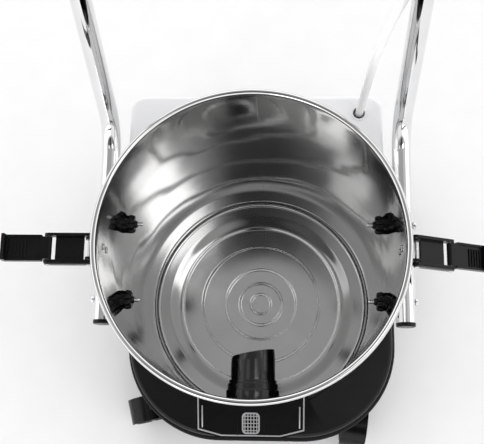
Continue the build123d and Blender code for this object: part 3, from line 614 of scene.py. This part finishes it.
# ---- Drum
@dataclass
class Drum:
    """Stainless drum: rolled wall with a curled rim, and a pressed floor."""

    wall: float = 1.2 * MM
    bead: float = 4.2 * MM
    curl: float = 290.0
    rise: float = 2.4 * MM
    slope: float = 6.0 * MM
    fade: float = 22.0 * MM
    ring_shares: tuple[float, ...] = (0.095, 0.20, 0.335, 0.555, 0.745)
    flange: float = 12.0 * MM
    bend: float = 6.0 * MM
    inlet_hole: float = 30.6 * MM
    seam: float = 2.2 * MM
    seam_rise: float = 0.12 * MM
    seam_turn: float = 0.03
    ripples: tuple[tuple[float, float], ...] = ((0.10, 900.0), (0.06, 2300.0))
    segments: int = 288
    centre: np.ndarray = field(init=False)
    radius: float = field(init=False)
    foot: float = field(init=False)
    rim: float = field(init=False)

    def __post_init__(self) -> None:
        """Reads the drum's place and size from its CAD node."""
        bottom, top = low("drum_shell"), high("drum_shell")
        self.centre = (bottom + top) / 2
        self.radius = (top[0] - bottom[0]) / 2 - 2 * self.bead
        self.foot, self.rim = bottom[2], top[2]

    def wall_profile(self) -> np.ndarray:
        """Closed section of the wall: up the inside, round the curl, back and down the outside."""
        bead_z = self.rim - self.bead
        inlet_z = middle("inlet_elbow")[2]
        fine = np.arange(inlet_z - 60 * MM, inlet_z + 60 * MM, 5 * MM)
        coarse = np.linspace(self.foot, fine[0], 12, endpoint=False)
        heights = np.concatenate([coarse, fine, np.linspace(fine[-1] + 8 * MM, bead_z, 8, endpoint=False)])
        inside = np.stack([np.full_like(heights, self.radius), heights], -1)
        hub = (self.radius + self.bead, bead_z)
        over = arc(hub, self.bead, 180, 180 - self.curl, 36)
        back = arc(hub, self.bead - self.wall, 180 - self.curl, 180, 30)
        outside = inside[::-1] + (self.wall, 0.0)
        return np.vstack([inside, over, back, outside])

    def build_wall(self) -> bpy.types.Object:
        """Turns the wall and drills the inlet hole."""
        origin = (self.centre[0], self.centre[1], 0.0)
        wall = lathe("drum_wall_turned", self.wall_profile(), origin, (0, 0, 1), self.segments, True, 50.0)
        inlet = middle("inlet_elbow")
        reach = self.radius + 20 * MM
        plug = np.array([(self.inlet_hole, 0.0), (self.inlet_hole, reach)])
        cutter = lathe("inlet_cutter", plug, (inlet[0], self.centre[1], inlet[2]), (0, -1, 0), 96)
        cut = wall.modifiers.new("inlet", "BOOLEAN")
        cut.object, cut.operation, cut.solver = cutter, "DIFFERENCE", "EXACT"
        graph = bpy.context.evaluated_depsgraph_get()
        wall.data = bpy.data.meshes.new_from_object(wall.evaluated_get(graph))
        wall.modifiers.clear()
        bpy.data.objects.remove(cutter)
        return mount_on(dress(wall, WALL_STEEL), "machine", "drum_shell")

    def floor_height(self, radius: np.ndarray) -> np.ndarray:
        """Height of the pressed floor: a sum of smooth steps, up and down in turn, the last one drawn out."""
        height = np.zeros_like(radius)
        way = 1.0
        steps = [(share * self.radius, self.slope) for share in self.ring_shares]
        steps.append((self.ring_shares[-1] * self.radius + 0.5 * self.slope + 0.6 * self.fade, self.fade))
        for place, width in steps:
            t = np.clip((radius - place) / width + 0.5, 0.0, 1.0)
            height += way * t * t * (3 - 2 * t)
            way = -way
        return height * self.rise

    def build_floor(self) -> bpy.types.Object:
        """Turns the floor: its top face, the bend up to the flange, and the same again underneath."""
        edge = self.radius - 0.1 * MM
        thick = self.wall
        flat_end = edge - thick - self.bend
        radius = np.concatenate([np.arange(0.2 * MM, flat_end, 0.7 * MM), [flat_end]])
        top = np.stack([radius, self.foot + thick + self.floor_height(radius)], -1)
        hub = (flat_end, self.foot + thick + self.bend)
        bend_up = arc(hub, self.bend, -90, 0, 8)[1:]
        lip = np.array([(edge - thick, self.foot + self.flange), (edge, self.foot + self.flange)])
        bend_down = arc((flat_end, self.foot + self.bend + thick), self.bend + thick, 0, -90, 8)
        under = top[::-1] - (0.0, thick)
        profile = np.vstack([top, bend_up, lip, bend_down, under[1:]])
        origin = (self.centre[0], self.centre[1], 0.0)
        floor = lathe("drum_floor_pressed", profile, origin, (0, 0, 1), 192, False, 60.0)
        return mount_on(dress(floor, FLOOR_STEEL), "machine", "drum_floor")

    def build_seam(self) -> bpy.types.Object:
        """Weld seam down the rear of the wall: a strip with a shallow domed section and a rippled edge.

        p(s, t) = axis + (radius - rise w(t)) (sin a, cos a) at height s, where a runs over the strip's
        width, w is a raised cosine and the width ripples with the height.
        """
        low_z, high_z = self.foot + self.flange + 1 * MM, self.rim - 2.4 * self.bead
        height = np.linspace(low_z, high_z, 260)
        ripple = 1.0 + sum(depth * np.sin(height * rate) for depth, rate in self.ripples)
        share = np.linspace(-1.0, 1.0, 9)
        angle = 0.5 * self.seam / self.radius * share[None, :] * ripple[:, None] + self.seam_turn
        rise = self.seam_rise * (0.5 + 0.5 * np.cos(math.pi * share))[None, :] * ripple[:, None]
        front = np.stack(
            [
                self.centre[0] + (self.radius - rise) * np.sin(angle),
                self.centre[1] + (self.radius - rise) * np.cos(angle),
                np.repeat(height[:, None], len(share), axis=1),
            ],
            -1,
        )
        outside = self.radius + 0.4 * self.wall
        back = np.stack(
            [
                self.centre[0] + outside * np.sin(angle), self.centre[1] + outside * np.cos(angle),
                np.repeat(height[:, None], len(share), axis=1),
            ],
            -1,
        )
        seam = grid_piece("drum_weld_seam", np.concatenate([front, back[:, ::-1]], axis=1))
        return mount_on(dress(seam, WALL_STEEL), "machine")

    def build(self) -> None:
        """Builds the wall, its weld seam and the floor."""
        self.build_wall()
        self.build_seam()
        self.build_floor()


# ---- Hose inlet
@dataclass
class Inlet:
    """Hose inlet: slant-cut deflector, stepped nut, gasket and the housing outside."""

    stub: float = 30.5 * MM
    bore: float = 27.0 * MM
    body: float = 31.8 * MM
    tip: float = 30.6 * MM
    hood: float = 11.0 * MM
    nut: float = 38.0 * MM
    widths: tuple[float, ...] = (15.0 * MM, 9.0 * MM, 5.0 * MM)
    step: float = 1.9 * MM
    notches: int = 12
    notch_depth: float = 1.6 * MM

    def build_elbow(self) -> bpy.types.Object:
        """Stub and deflector as one tube whose tip is cut by a slanted plane.

        The tube's wall is a closed loop of rows. Rows at the tip are slid along the axis by the plane's
        height there, so that the cut stays straight across the opening.
        """
        bottom, top = low("inlet_elbow"), high("inlet_elbow")
        centre = middle("inlet_elbow")
        length = top[1] - bottom[1]
        nut_end = high("inlet_nut")[1] - bottom[1]
        rows = rounded_profile(
            [
                (self.bore, 0.0, 0.0), (self.stub, 0.0, 1 * MM), (self.stub, nut_end - 3 * MM, 0.0),
                (self.body, nut_end - 1 * MM, 1 * MM), (self.body, nut_end + 3 * MM, 0.5 * MM),
                (self.tip + 1 * MM, length - 14 * MM, 1 * MM), (self.tip, length, 1.6 * MM),
                (self.bore + 0.6 * MM, length, 1 * MM), (self.bore, length - 2 * MM, 1 * MM),
                (self.bore, 0.0, 0.0),
            ]
        )[:-1]
        columns = 96
        angle = np.arange(columns) / columns * TURN
        along = np.repeat(rows[:, 1:2], columns, axis=1)
        across = rows[:, :1] * np.cos(angle)[None, :]
        cut = self.hood * (across / self.tip - 1.0) / 2.0
        near_tip = np.clip((rows[:, 1:2] - (length - 20 * MM)) / (20 * MM), 0.0, 1.0)
        along = along + cut * near_tip
        points = np.stack(
            [centre[0] + across, bottom[1] + along, centre[2] + rows[:, :1] * np.sin(angle)[None, :]], -1
        )
        elbow = grid_piece("inlet_deflector", points, rows_closed=True)
        return mount_on(dress(elbow, DEFLECTOR_BLACK), "machine", "inlet_elbow")

    def build_nut(self) -> bpy.types.Object:
        """Stepped nut: each band is a ring, and the first has finger notches round it.

        r(s, t) = r(s) - depth w(s) max(0, cos(n t)) ** 6, where w is one on the first band only.
        """
        bottom, top = low("inlet_nut"), high("inlet_nut")
        centre = middle("inlet_nut")
        inner = self.body + 0.1 * MM
        corners = [(inner, 0.0, 0.0)]
        start, radius = 0.0, self.nut
        for width in self.widths:
            corners += [(radius, start, 1.0 * MM), (radius, start + width, 1.2 * MM)]
            start += width
            radius -= self.step
        corners.append((inner, start, 0.0))
        rows = rounded_profile(corners)
        columns = 240
        angle = np.arange(columns) / columns * TURN
        first_band = ((rows[:, 1] > 2 * MM) & (rows[:, 1] < self.widths[0] - 2 * MM)).astype(float)
        notch = np.clip(np.cos(self.notches * angle), 0.0, 1.0) ** 6
        radius_grid = rows[:, :1] - self.notch_depth * first_band[:, None] * notch[None, :]
        points = np.stack(
            [
                centre[0] + radius_grid * np.cos(angle),
                bottom[1] + np.repeat(rows[:, 1:2], columns, axis=1),
                centre[2] + radius_grid * np.sin(angle),
            ],
            -1,
        )
        nut = grid_piece("inlet_ring_nut", points, rows_closed=True)
        return mount_on(dress(nut, DEFLECTOR_BLACK), "machine", "inlet_nut")

    def build_housing(self) -> None:
        """Housing, its bright trim and its blank grille badge, as softened copies."""
        dress(softened_copy("inlet_housing", 1.6 * MM, segments=3), GLOSS_BLACK)
        dress(softened_copy("housing_trim", 0.25 * MM), SILVER)
        dress(softened_copy("housing_badge", 0.2 * MM), SILVER)
        dress(softened_copy("inlet_gasket", 0.0), RUBBER)

    def build_ribs(self) -> None:
        """Ribs on the housing's sloped top: a slim black pair by the badge, and a bright silver pair at the sides
        that is a painted highlight standing in for the light on the top's bevelled edges.
        """
        badge_low, badge_high = low("housing_badge"), high("housing_badge")
        slope = math.atan2(badge_high[2] - badge_low[2] - 1.3 * MM, badge_high[1] - badge_low[1])
        run, rise = math.cos(slope), math.sin(slope)
        axes = np.array([(1, 0, 0), (0, run, rise), (0, -rise, run)])
        centre = middle("housing_badge") - axes[2] * 0.2 * MM
        for word, out, back, half, finish, material in (
            ("badge", 18.0 * MM, 0.0, (0.7 * MM, 17.0 * MM, 0.8 * MM), GLOSS_BLACK, "gloss_black"),
            # The side pair is a painted highlight: bright silver strips placed where the bevelled edges of the
            # housing catch the light.
            ("side", 65.6 * MM, 9.0 * MM, (0.9 * MM, 15.5 * MM, 0.9 * MM), SILVER, "silver_trim"),
        ):
            for name, side in SIDES.items():
                spot = centre + np.array((side * out, 0.0, 0.0)) + axes[1] * back
                rib = rounded_block(f"{word}_rib_{name}", spot, half, 0.5 * MM, axes)
                mount_on(dress(rib, finish), "machine")

    def build(self) -> None:
        """Builds every piece of the inlet."""
        self.build_elbow()
        self.build_nut()
        self.build_housing()
        self.build_ribs()


# ---- Push handle
@dataclass
class Handle:
    """Bent chrome handle, its plugs, bolts, spacers, knob seats and star knobs."""

    tube: float = 14.0 * MM
    bend: float = 60.0 * MM
    rake: float = 69.6
    bolt: float = 3.0 * MM
    pitch: float = 1.0 * MM
    thread: float = 0.35 * MM
    flats: float = 10.0 * MM
    head: float = 4.0 * MM
    point: float = 1.2 * MM
    lobes: int = 7
    knob: float = 14.5 * MM
    waist: float = 10.9 * MM
    flange: float = 13.2 * MM
    boss: float = 5.4 * MM
    boss_height: float = 3.6 * MM

    def path(self) -> np.ndarray:
        """Centre line of the handle, from the left front end round to the right one."""
        bottom, top = low("push_handle"), high("push_handle")
        leg_x = (top[0] - bottom[0]) / 2 - self.tube
        mid_x = (top[0] + bottom[0]) / 2
        leg_z, grip_z = bottom[2] + self.tube, top[2] - self.tube
        grip_y = top[1] - self.tube
        bend_y = grip_y - (grip_z - leg_z) / math.tan(math.radians(self.rake))
        left, right = mid_x - leg_x, mid_x + leg_x
        corners = [
            (left, bottom[1], leg_z), (left, bend_y, leg_z), (left, grip_y, grip_z),
            (right, grip_y, grip_z), (right, bend_y, leg_z), (right, bottom[1], leg_z),
        ]
        return filleted_path(np.array(corners), self.bend)

    def build_tube(self) -> bpy.types.Object:
        """Sweeps the tube along its path."""
        tube = swept("handle_tube_bent", self.path(), circle(self.tube, 64))
        return mount_on(dress(tube, CHROME), "machine", "push_handle")

    def build_bolt(self, node: str, side: float) -> bpy.types.Object:
        """Hex bolt with a cut thread.

        The rows run from the head to the tip. In the head r(t) = flat / cos(t mod 60 - 30 degrees); on the
        thread r(s, t) = bolt - depth (1 + cos(360 s / pitch - t)) / 2, which is one helix.
        """
        bottom, top = low(node), high(node)
        centre = middle(node)
        length = top[0] - bottom[0]
        outer = top[0] if side > 0 else bottom[0]
        columns = 60
        angle = np.arange(columns) / columns * TURN
        hexagon = (self.flats / 2) / np.cos((angle + math.radians(30)) % math.radians(60) - math.radians(30))
        rounded = np.minimum(hexagon, self.flats * 0.56)
        chamfered = np.minimum(hexagon, self.flats * 0.5)
        rows = [
            (0.0, chamfered * 0.96), (0.35 * MM, chamfered), (1.1 * MM, rounded),
            (self.head - 0.3 * MM, rounded), (self.head, rounded * 0.97),
        ]
        ring = np.ones(columns)
        rows += [(self.head, ring * self.bolt), (length - 22 * MM, ring * self.bolt)]
        turns = np.arange(length - 21.5 * MM, length - self.point - 0.2 * MM, self.pitch / 6)
        for along in turns:
            groove = self.thread * (1 + np.cos(TURN * along / self.pitch - angle)) / 2
            rows.append((along, self.bolt - groove))
        rows.append((length - self.point, ring * (self.bolt - self.thread)))
        rows.append((length, ring * (self.bolt - self.point)))
        points = np.array(
            [
                np.stack([np.full(columns, outer - side * along), centre[1] + radius * np.cos(angle),
                          centre[2] + radius * np.sin(angle)], -1)
                for along, radius in rows
            ]
        )
        bolt = grid_piece(f"{node}_threaded", points, crease=32.0)
        return mount_on(dress(bolt, ZINC), "machine", node)

    def build_knob(self, node: str, side: float) -> bpy.types.Object:
        """Star knob whose lobes taper towards its face.

        r(s, t) = r(s) + w(s) lobe(t), where the lobes are |cos(n t / 2)| rounded off, and w fades to zero on
        the flange and the boss.
        """
        bottom, top = low(node), high(node)
        centre = middle(node)
        thick = top[0] - bottom[0]
        wall_side = top[0] if side > 0 else bottom[0]
        columns = 168
        angle = np.arange(columns) / columns * TURN
        wave = np.abs(np.cos(self.lobes * angle / 2)) ** 0.9
        bore, flange, waist, boss = self.bolt + 0.05 * MM, self.flange, self.waist, self.boss
        swell = self.knob - waist
        face = thick - self.boss_height
        rows = [
            (0.0, bore, 0.0), (0.0, flange - 0.5 * MM, 0.0), (0.5 * MM, flange, 0.0), (2.0 * MM, flange, 0.0),
            (2.6 * MM, waist, 0.93), (3.0 * MM, waist, 1.0), (5.4 * MM, waist - 0.2 * MM, 0.9),
            (face - 1.6 * MM, waist - 0.4 * MM, 0.78), (face - 0.5 * MM, waist - 0.8 * MM, 0.66),
            (face, waist - 1.6 * MM, 0.5), (face - 0.4 * MM, boss + 1.4 * MM, 0.0), (face, boss, 0.0),
            (thick - 1.2 * MM, boss - 0.5 * MM, 0.0), (thick, boss - 1.3 * MM, 0.0), (thick, bore, 0.0),
        ]
        points = np.array(
            [
                np.stack([np.full(columns, wall_side - side * along),
                          centre[1] + (radius + weight * swell * wave) * np.cos(angle + 0.3),
                          centre[2] + (radius + weight * swell * wave) * np.sin(angle + 0.3)], -1)
                for along, radius, weight in rows
            ]
        )
        knob = grid_piece(f"{node}_lobed", points, rows_closed=True, crease=45.0)
        return mount_on(dress(knob, BLACK_MOULDING), body_of_node(node), node)

    def build(self) -> None:
        """Builds the handle and everything that fastens it."""
        self.build_tube()
        for name, side in SIDES.items():
            dress(softened_copy(f"handle_plug_{name}", 0.4 * MM), BLACK_MOULDING)
            for place in ("front", "rear"):
                self.build_bolt(f"handle_bolt_{place}_{name}", side)
                self.build_knob(f"star_knob_{place}_{name}", side)
                for part in ("handle_spacer", "knob_seat"):
                    moulded = softened_copy(f"{part}_{place}_{name}", 0.3 * MM)
                    dress(moulded, BLACK_MOULDING)


# ---- Latches
@dataclass
class Latch:
    """One over-centre latch: bracket, channel link, blacked strap, pins and the finger lever."""

    name: str
    side: float
    pin: float = 2.5 * MM
    head: float = 4.0 * MM
    ribs: int = 5
    rib_start: float = 31.0 * MM
    rib_pitch: float = 4.6 * MM
    rib_lift: float = 2.9 * MM

    def tilt(self) -> float:
        """Angle of the latch above the horizontal, read from its two pins."""
        pivot, far = middle(f"latch_pin_{self.name}"), middle(f"lever_pin_{self.name}")
        return math.atan2(far[2] - pivot[2], abs(far[0] - pivot[0]))

    def build_pin(self, node: str) -> bpy.types.Object:
        """Pin with one domed head, turned about Y."""
        bottom, top = low(node), high(node)
        centre = middle(node)
        length = top[1] - bottom[1]
        dome = 1.1 * MM
        profile = rounded_profile(
            [
                (0.3 * MM, 0.0, 0.0), (self.head - 1.2 * MM, 0.05 * MM, 0.8 * MM),
                (self.head, dome, 0.5 * MM), (self.head, 1.35 * MM, 0.1 * MM), (self.pin, 1.4 * MM, 0.0),
                (self.pin, length - 0.5 * MM, 0.2 * MM), (self.pin - 0.5 * MM, length, 0.2 * MM),
                (0.3 * MM, length, 0.0),
            ]
        )
        pin = lathe(f"{node}_turned", profile, (centre[0], bottom[1], centre[2]), (0, 1, 0), 32)
        return mount_on(dress(pin, ZINC), body_of_node(node), node)

    def build_grip_ribs(self) -> None:
        """Raised ribs across the lever's face, for the thumb."""
        lever = f"latch_lever_{self.name}"
        hinge = middle(f"lever_pin_{self.name}")
        tilt = self.tilt()
        along = np.array((self.side * math.cos(tilt), 0.0, math.sin(tilt)))
        up = np.array((-self.side * math.sin(tilt), 0.0, math.cos(tilt)))
        axes = np.array([along, (0.0, 1.0, 0.0), np.cross(along, (0.0, 1.0, 0.0))])
        for index in range(self.ribs):
            spot = hinge + along * (self.rib_start + self.rib_pitch * index) + up * self.rib_lift
            rib = rounded_block(
                f"lever_rib_{self.name}_{index}", spot, (0.9 * MM, 12.5 * MM, 1.1 * MM), 0.8 * MM, axes
            )
            mount_on(dress(rib, BLACK_MOULDING), body_of_node(lever))

    def build(self) -> None:
        """Builds every piece of the latch."""
        for part, bevel in (("latch_bracket", 0.5), ("latch_link", 0.6), ("latch_lever", 0.7)):
            dress(softened_copy(f"{part}_{self.name}", bevel * MM), BLACK_MOULDING)
        dress(softened_copy(f"latch_strap_{self.name}", 0.35 * MM), BLACKED_STEEL)
        dress(softened_copy(f"latch_rivets_{self.name}", 0.4 * MM), ZINC)
        self.build_pin(f"latch_pin_{self.name}")
        self.build_pin(f"lever_pin_{self.name}")
        self.build_grip_ribs()


# ---- Solution tank and hose
@dataclass
class SolutionTank:
    """Milky tank with a rimmed hose hole and level marks."""

    hole: float = 9.0 * MM
    marks: int = 8
    mark_halves: tuple[float, float] = (9 * MM, 16 * MM)
    marks_inset: float = 60 * MM

    def build(self) -> None:
        """Builds the tank, the hole's rim and the level marks."""
        dress(softened_copy("solution_tank", 1.5 * MM, segments=3), MILKY_TANK)
        top, bottom = high("solution_tank"), low("solution_tank")
        hose_start = low("hose")
        hole = np.array((hose_start[0] + 6 * MM, 0.0, top[2]))
        hole[1] = hose_start[1] + 6 * MM
        lip = rounded_profile(
            [
                (self.hole, -1.5 * MM, 0), (self.hole, 1.0 * MM, 0.6 * MM),
                (self.hole + 2.2 * MM, 1.0 * MM, 0.8 * MM), (self.hole + 3.0 * MM, 0.0, 0.4 * MM),
                (self.hole + 3.0 * MM, -1.5 * MM, 0),
            ]
        )
        rim = lathe("tank_hole_rim", lip, hole, (0, 0, 1), 64, True)
        mount_on(dress(rim, MILKY_TANK), "machine")
        height = top[2] - bottom[2]
        for index in range(self.marks):
            level = bottom[2] + height * (index + 1) / (self.marks + 1)
            half = self.mark_halves[index % 2]
            spot = (top[0] - self.marks_inset - half, top[1] - 0.1 * MM, level)
            mark = rounded_block(f"tank_level_{index}", spot, (half, 0.9 * MM, 1.1 * MM), 0.7 * MM)
            mount_on(dress(mark, MILKY_TANK), "machine")


@dataclass
class SolutionHose:
    """Clear vinyl hose from the tank up to its coupling behind the right riser."""

    radius: float = 6.0 * MM
    coupling: float = 9.2 * MM
    route: tuple[tuple[float, float, float], ...] = (
        (0.15961, 0.18130, 0.54500),
        (0.16111, 0.18330, 0.59500),
        (0.16561, 0.19530, 0.66000),
        (0.17261, 0.21430, 0.71500),
        (0.18861, 0.23930, 0.76500),
        (0.20861, 0.26330, 0.80600),
        (0.22111, 0.28602, 0.85563),
        (0.22111, 0.30387, 0.90363),
    )

    def build_coupling(self) -> bpy.types.Object:
        """Turned brass coupling: barb, raised collar and an open socket."""
        start, before = np.array(self.route[-1]), np.array(self.route[-2])
        along = unit(start - before)
        length = 34.0 * MM
        body, collar, socket = 8.2 * MM, self.coupling, 5.0 * MM
        profile = rounded_profile(
            [
                (0.2 * MM, 0.0, 0), (body - 0.6 * MM, 0.0, 0.4 * MM), (body, 1.2 * MM, 0.4 * MM),
                (body - 0.7 * MM, 2.4 * MM, 0.3 * MM), (body, 3.6 * MM, 0.3 * MM),
                (body - 0.7 * MM, 4.8 * MM, 0.3 * MM), (body, 6.0 * MM, 0.3 * MM),
                (body, 11.4 * MM, 0.6 * MM), (body - 2 * MM, 12.2 * MM, 0.4 * MM),
                (body - 2 * MM, 18.4 * MM, 0.4 * MM), (collar - 0.8 * MM, 18.8 * MM, 0.3 * MM),
                (collar, 19.8 * MM, 0.4 * MM), (collar, 26.2 * MM, 0.4 * MM),
                (collar - 0.8 * MM, 27.1 * MM, 0.3 * MM), (body - 2 * MM, 27.4 * MM, 0.4 * MM),
                (body - 2 * MM, length - 0.6 * MM, 0.4 * MM),
                (body - 2.6 * MM, length, 0.3 * MM), (socket, length, 0.3 * MM), (socket, 14 * MM, 0.3 * MM),
                (0.2 * MM, 14 * MM, 0),
            ]
        )
        coupling = lathe("hose_coupling_turned", profile, start, along, 48)
        return mount_on(dress(coupling, BRASS), "machine", "hose_coupling")

    def build(self) -> None:
        """Builds the hose on one smooth spline, its coupling and its clip."""
        coupling = self.build_coupling()
        curve = bpy.data.curves.new("solution_hose_line", "CURVE")
        curve.dimensions = "3D"
        curve.resolution_u = 14
        curve.bevel_depth = self.radius
        curve.bevel_resolution = 7
        curve.use_fill_caps = True
        line = curve.splines.new("NURBS")
        line.points.add(len(self.route) - 1)
        for point, place in zip(line.points, self.route):
            point.co = (*place, 1.0)
        line.order_u = 3
        line.use_endpoint_u = True
        hose = bpy.data.objects.new("solution_hose", curve)
        bpy.context.scene.collection.objects.link(hose)
        mount_on(dress(hose, HOSE_VINYL), "machine", "hose")
        dress(softened_copy("hose_clip", 0.4 * MM), BLACK_MOULDING)


# ---- Base and casters
class Base:
    """Moulded base with its bumper band."""

    def build(self) -> None:
        """Builds the base and the bumper as softened copies."""
        dress(softened_copy("base_shell", 1.2 * MM, crease=35.0), BASE_MOULDING)
        dress(softened_copy("base_bumper", 0.0), RUBBER)


@dataclass
class Caster:
    """Twin-wheel caster: swivel fork, grooved tyres, hubs and axle."""

    corner: str
    radius: float = 37.5 * MM
    width: float = 19.0 * MM
    web: float = 10.0 * MM
    side_gap: float = 0.5 * MM
    bore: float = 4.05 * MM
    hub: float = 14.0 * MM
    dish: float = 2.0 * MM
    grooves: int = 3

    def wheel_profile(self, side: float) -> np.ndarray:
        """Closed section of one wheel: a crowned, grooved tyre, a dished disc and a hub."""
        near = self.web / 2 + self.side_gap
        far = near + self.width
        round_r = 4.5 * MM
        tread = [(self.radius, near + round_r, 1.0 * MM)]
        pitch = (self.width - 2 * round_r) / (self.grooves + 1)
        for index in range(self.grooves):
            mid = near + round_r + pitch * (index + 1)
            tread += [
                (self.radius, mid - 0.8 * MM, 0.2 * MM), (self.radius - 1.1 * MM, mid - 0.5 * MM, 0.2 * MM),
                (self.radius - 1.1 * MM, mid + 0.5 * MM, 0.2 * MM), (self.radius, mid + 0.8 * MM, 0.2 * MM),
            ]
        tread.append((self.radius, far - round_r, 1.0 * MM))
        rim = self.radius - 9 * MM
        rows = [
            (self.bore, near, 0), (self.radius - round_r, near, 1 * MM),
            (self.radius - 1.4 * MM, near + 1.4 * MM, 1 * MM), *tread,
            (self.radius - 1.4 * MM, far - 1.4 * MM, 1 * MM), (self.radius - round_r, far, 1 * MM),
            (rim, far, 0.6 * MM), (rim - 0.8 * MM, far - self.dish, 0.5 * MM),
            (self.hub + 0.8 * MM, far - self.dish, 0.6 * MM), (self.hub, far, 0.6 * MM),
            (self.bore + 0.6 * MM, far, 0.3 * MM), (self.bore, far - 0.4 * MM, 0),
        ]
        profile = rounded_profile(rows, 3)
        profile[:, 1] *= side
        return profile

    def build(self) -> None:
        """Builds the fork, both wheels and the axle."""
        roll = joint(f"roll_{self.corner}")
        centre, axis = np.array(roll["pos_m"]), unit(roll["axis"])
        wheels = f"caster_wheels_{self.corner}"
        for side in (-1.0, 1.0):
            label = "in" if side < 0 else "out"
            name = f"wheel_{self.corner}_{label}"
            wheel = lathe(name, self.wheel_profile(side), centre, axis, 72, True, 34.0)
            mount_on(dress(wheel, RUBBER), body_of_node(wheels), wheels)
        half = self.web / 2 + self.side_gap + self.width + 1.0 * MM
        pin = rounded_profile(
            [(0.2 * MM, -half, 0), (3.2 * MM, -half, 0.3 * MM), (4.0 * MM, -half + 0.7 * MM, 0.3 * MM),
             (4.0 * MM, half - 0.7 * MM, 0.3 * MM), (3.2 * MM, half, 0.3 * MM), (0.2 * MM, half, 0)]
        )
        axle = lathe(f"axle_{self.corner}", pin, centre, axis, 32)
        dress(axle, ZINC)
        node = f"caster_axle_{self.corner}"
        mount_on(axle, body_of_node(node), node)
        dress(softened_copy(f"caster_fork_{self.corner}", 0.6 * MM), BLACK_MOULDING)


# ---- Studio
@dataclass
class Studio:
    """Pale floor, soft lights, white surround and the camera over the drum's mouth."""

    lens: float = 64.84
    sensor: float = 36.0
    offset: tuple[float, float, float] = (0.0430, -0.2408, 1.0904)
    turn: tuple[float, float, float] = (13.65, 2.60, 0.89)
    softboxes: tuple[tuple[str, tuple[float, float, float], tuple[float, float], float], ...] = (
        ("right_box", (1.00, -0.30, 3.20), (0.66, 1.05), 2.3),
        ("left_box", (-1.20, -0.15, 3.20), (0.56, 0.90), 0.8),
        ("rear_box", (-0.10, 3.30, 2.20), (2.40, 0.90), 0.7),
        ("front_box", (-1.30, -3.20, 1.70), (1.40, 1.20), 2.4),
    )
    horizon: float = 1.7
    ceiling_front: float = 0.05
    ceiling_rear: float = 0.42
    ceiling_right: float = 0.62
    ceiling_left: float = 0.16

    def place_camera(self) -> None:
        """Camera above and in front of the drum, looking down into it."""
        drum = Drum()
        camera = bpy.data.cameras.new("view")
        camera.lens = self.lens
        camera.sensor_width = self.sensor
        camera.clip_start = 0.02
        camera.clip_end = 30.0
        holder = bpy.data.objects.new("view", camera)
        holder.location = Vector((drum.centre[0], drum.centre[1], drum.rim)) + Vector(self.offset)
        holder.rotation_euler = Euler([math.radians(angle) for angle in self.turn], "XYZ")
        bpy.context.scene.collection.objects.link(holder)
        bpy.context.scene.camera = holder

    def build_floor(self) -> None:
        """Wide pale floor disc with a gentle upturned edge."""
        profile = rounded_profile([(0.05, 0.0, 0), (6.0, 0.0, 0.5), (7.0, 0.6, 0)], 12)
        floor = lathe("floor", profile, (0, 0, -0.0005), (0, 0, 1), 96, end=Cap.OPEN)
        paint = Finish("pale_floor", (0.93, 0.93, 0.93), roughness=0.6, tone_spread=0.01, grain_depth=0.0)
        floor.data.materials.append(paint.material())

    def place_softboxes(self) -> None:
        """Softboxes aimed at the drum's mouth; a box of radiance L and area A gives pi L A watts."""
        target = Vector((0.0, -0.05, 0.7))
        for name, place, (width, depth), radiance in self.softboxes:
            lamp = bpy.data.lights.new(name, "AREA")
            lamp.shape = "RECTANGLE"
            lamp.size, lamp.size_y = width, depth
            lamp.energy = math.pi * radiance * width * depth
            holder = bpy.data.objects.new(name, lamp)
            holder.location = place
            holder.rotation_euler = (target - Vector(place)).to_track_quat("-Z", "Y").to_euler()
            bpy.context.scene.collection.objects.link(holder)

    def build_surround(self) -> None:
        """White studio walls under a dim ceiling that is darkest in the middle of its front half.

        The direction's height blends the ceiling into the walls. The ceiling takes the brightest of three
        ramps, one from front to rear and one from the middle out to each side.
        """
        world = bpy.data.worlds.new("surround")
        world.use_nodes = True
        tree = world.node_tree
        place = tree.nodes.new("ShaderNodeTexCoord")
        axes = tree.nodes.new("ShaderNodeSeparateXYZ")
        tree.links.new(place.outputs["Generated"], axes.inputs["Vector"])
        rear = ranged(tree, axes.outputs["Y"], (-0.26, 0.06), (self.ceiling_front, self.ceiling_rear), True)
        right = ranged(tree, axes.outputs["X"], (0.03, 0.30), (0.0, self.ceiling_right), True)
        left = ranged(tree, axes.outputs["X"], (-0.30, -0.03), (self.ceiling_left, 0.0), True)
        ceiling = rear
        for side in (right, left):
            brighter = tree.nodes.new("ShaderNodeMath")
            brighter.operation = "MAXIMUM"
            tree.links.new(ceiling, brighter.inputs[0])
            tree.links.new(side, brighter.inputs[1])
            ceiling = brighter.outputs["Value"]
        blend = tree.nodes.new("ShaderNodeMix")
        blend.inputs["A"].default_value = self.horizon
        tree.links.new(ceiling, blend.inputs["B"])
        height = ranged(tree, axes.outputs["Z"], (0.60, 0.80), (0.0, 1.0), True)
        tree.links.new(height, blend.inputs["Factor"])
        sky = tree.nodes["Background"]
        sky.inputs["Color"].default_value = (1.0, 1.0, 1.0, 1.0)
        tree.links.new(blend.outputs["Result"], sky.inputs["Strength"])
        bpy.context.scene.world = world

    def set_view(self) -> None:
        """Plain view transform."""
        view = bpy.context.scene.view_settings
        view.view_transform = "Standard"
        view.look = "None"
        view.exposure = 0.0

    def build(self) -> None:
        """Sets the camera, the floor, the lights and the view."""
        self.place_camera()
        self.build_floor()
        self.place_softboxes()
        self.build_surround()
        self.set_view()


def main() -> None:
    """Builds every sub-assembly in order."""
    logging.basicConfig(level=logging.INFO, format="%(name)s: %(message)s")
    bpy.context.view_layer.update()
    Studio().build()
    SolutionHose().build()
    Drum().build()
    Inlet().build()
    Handle().build()
    for name, side in SIDES.items():
        Latch(name, side).build()
    SolutionTank().build()
    Base().build()
    for corner in CORNERS:
        Caster(corner).build()


if __name__ == "__main__":
    main()
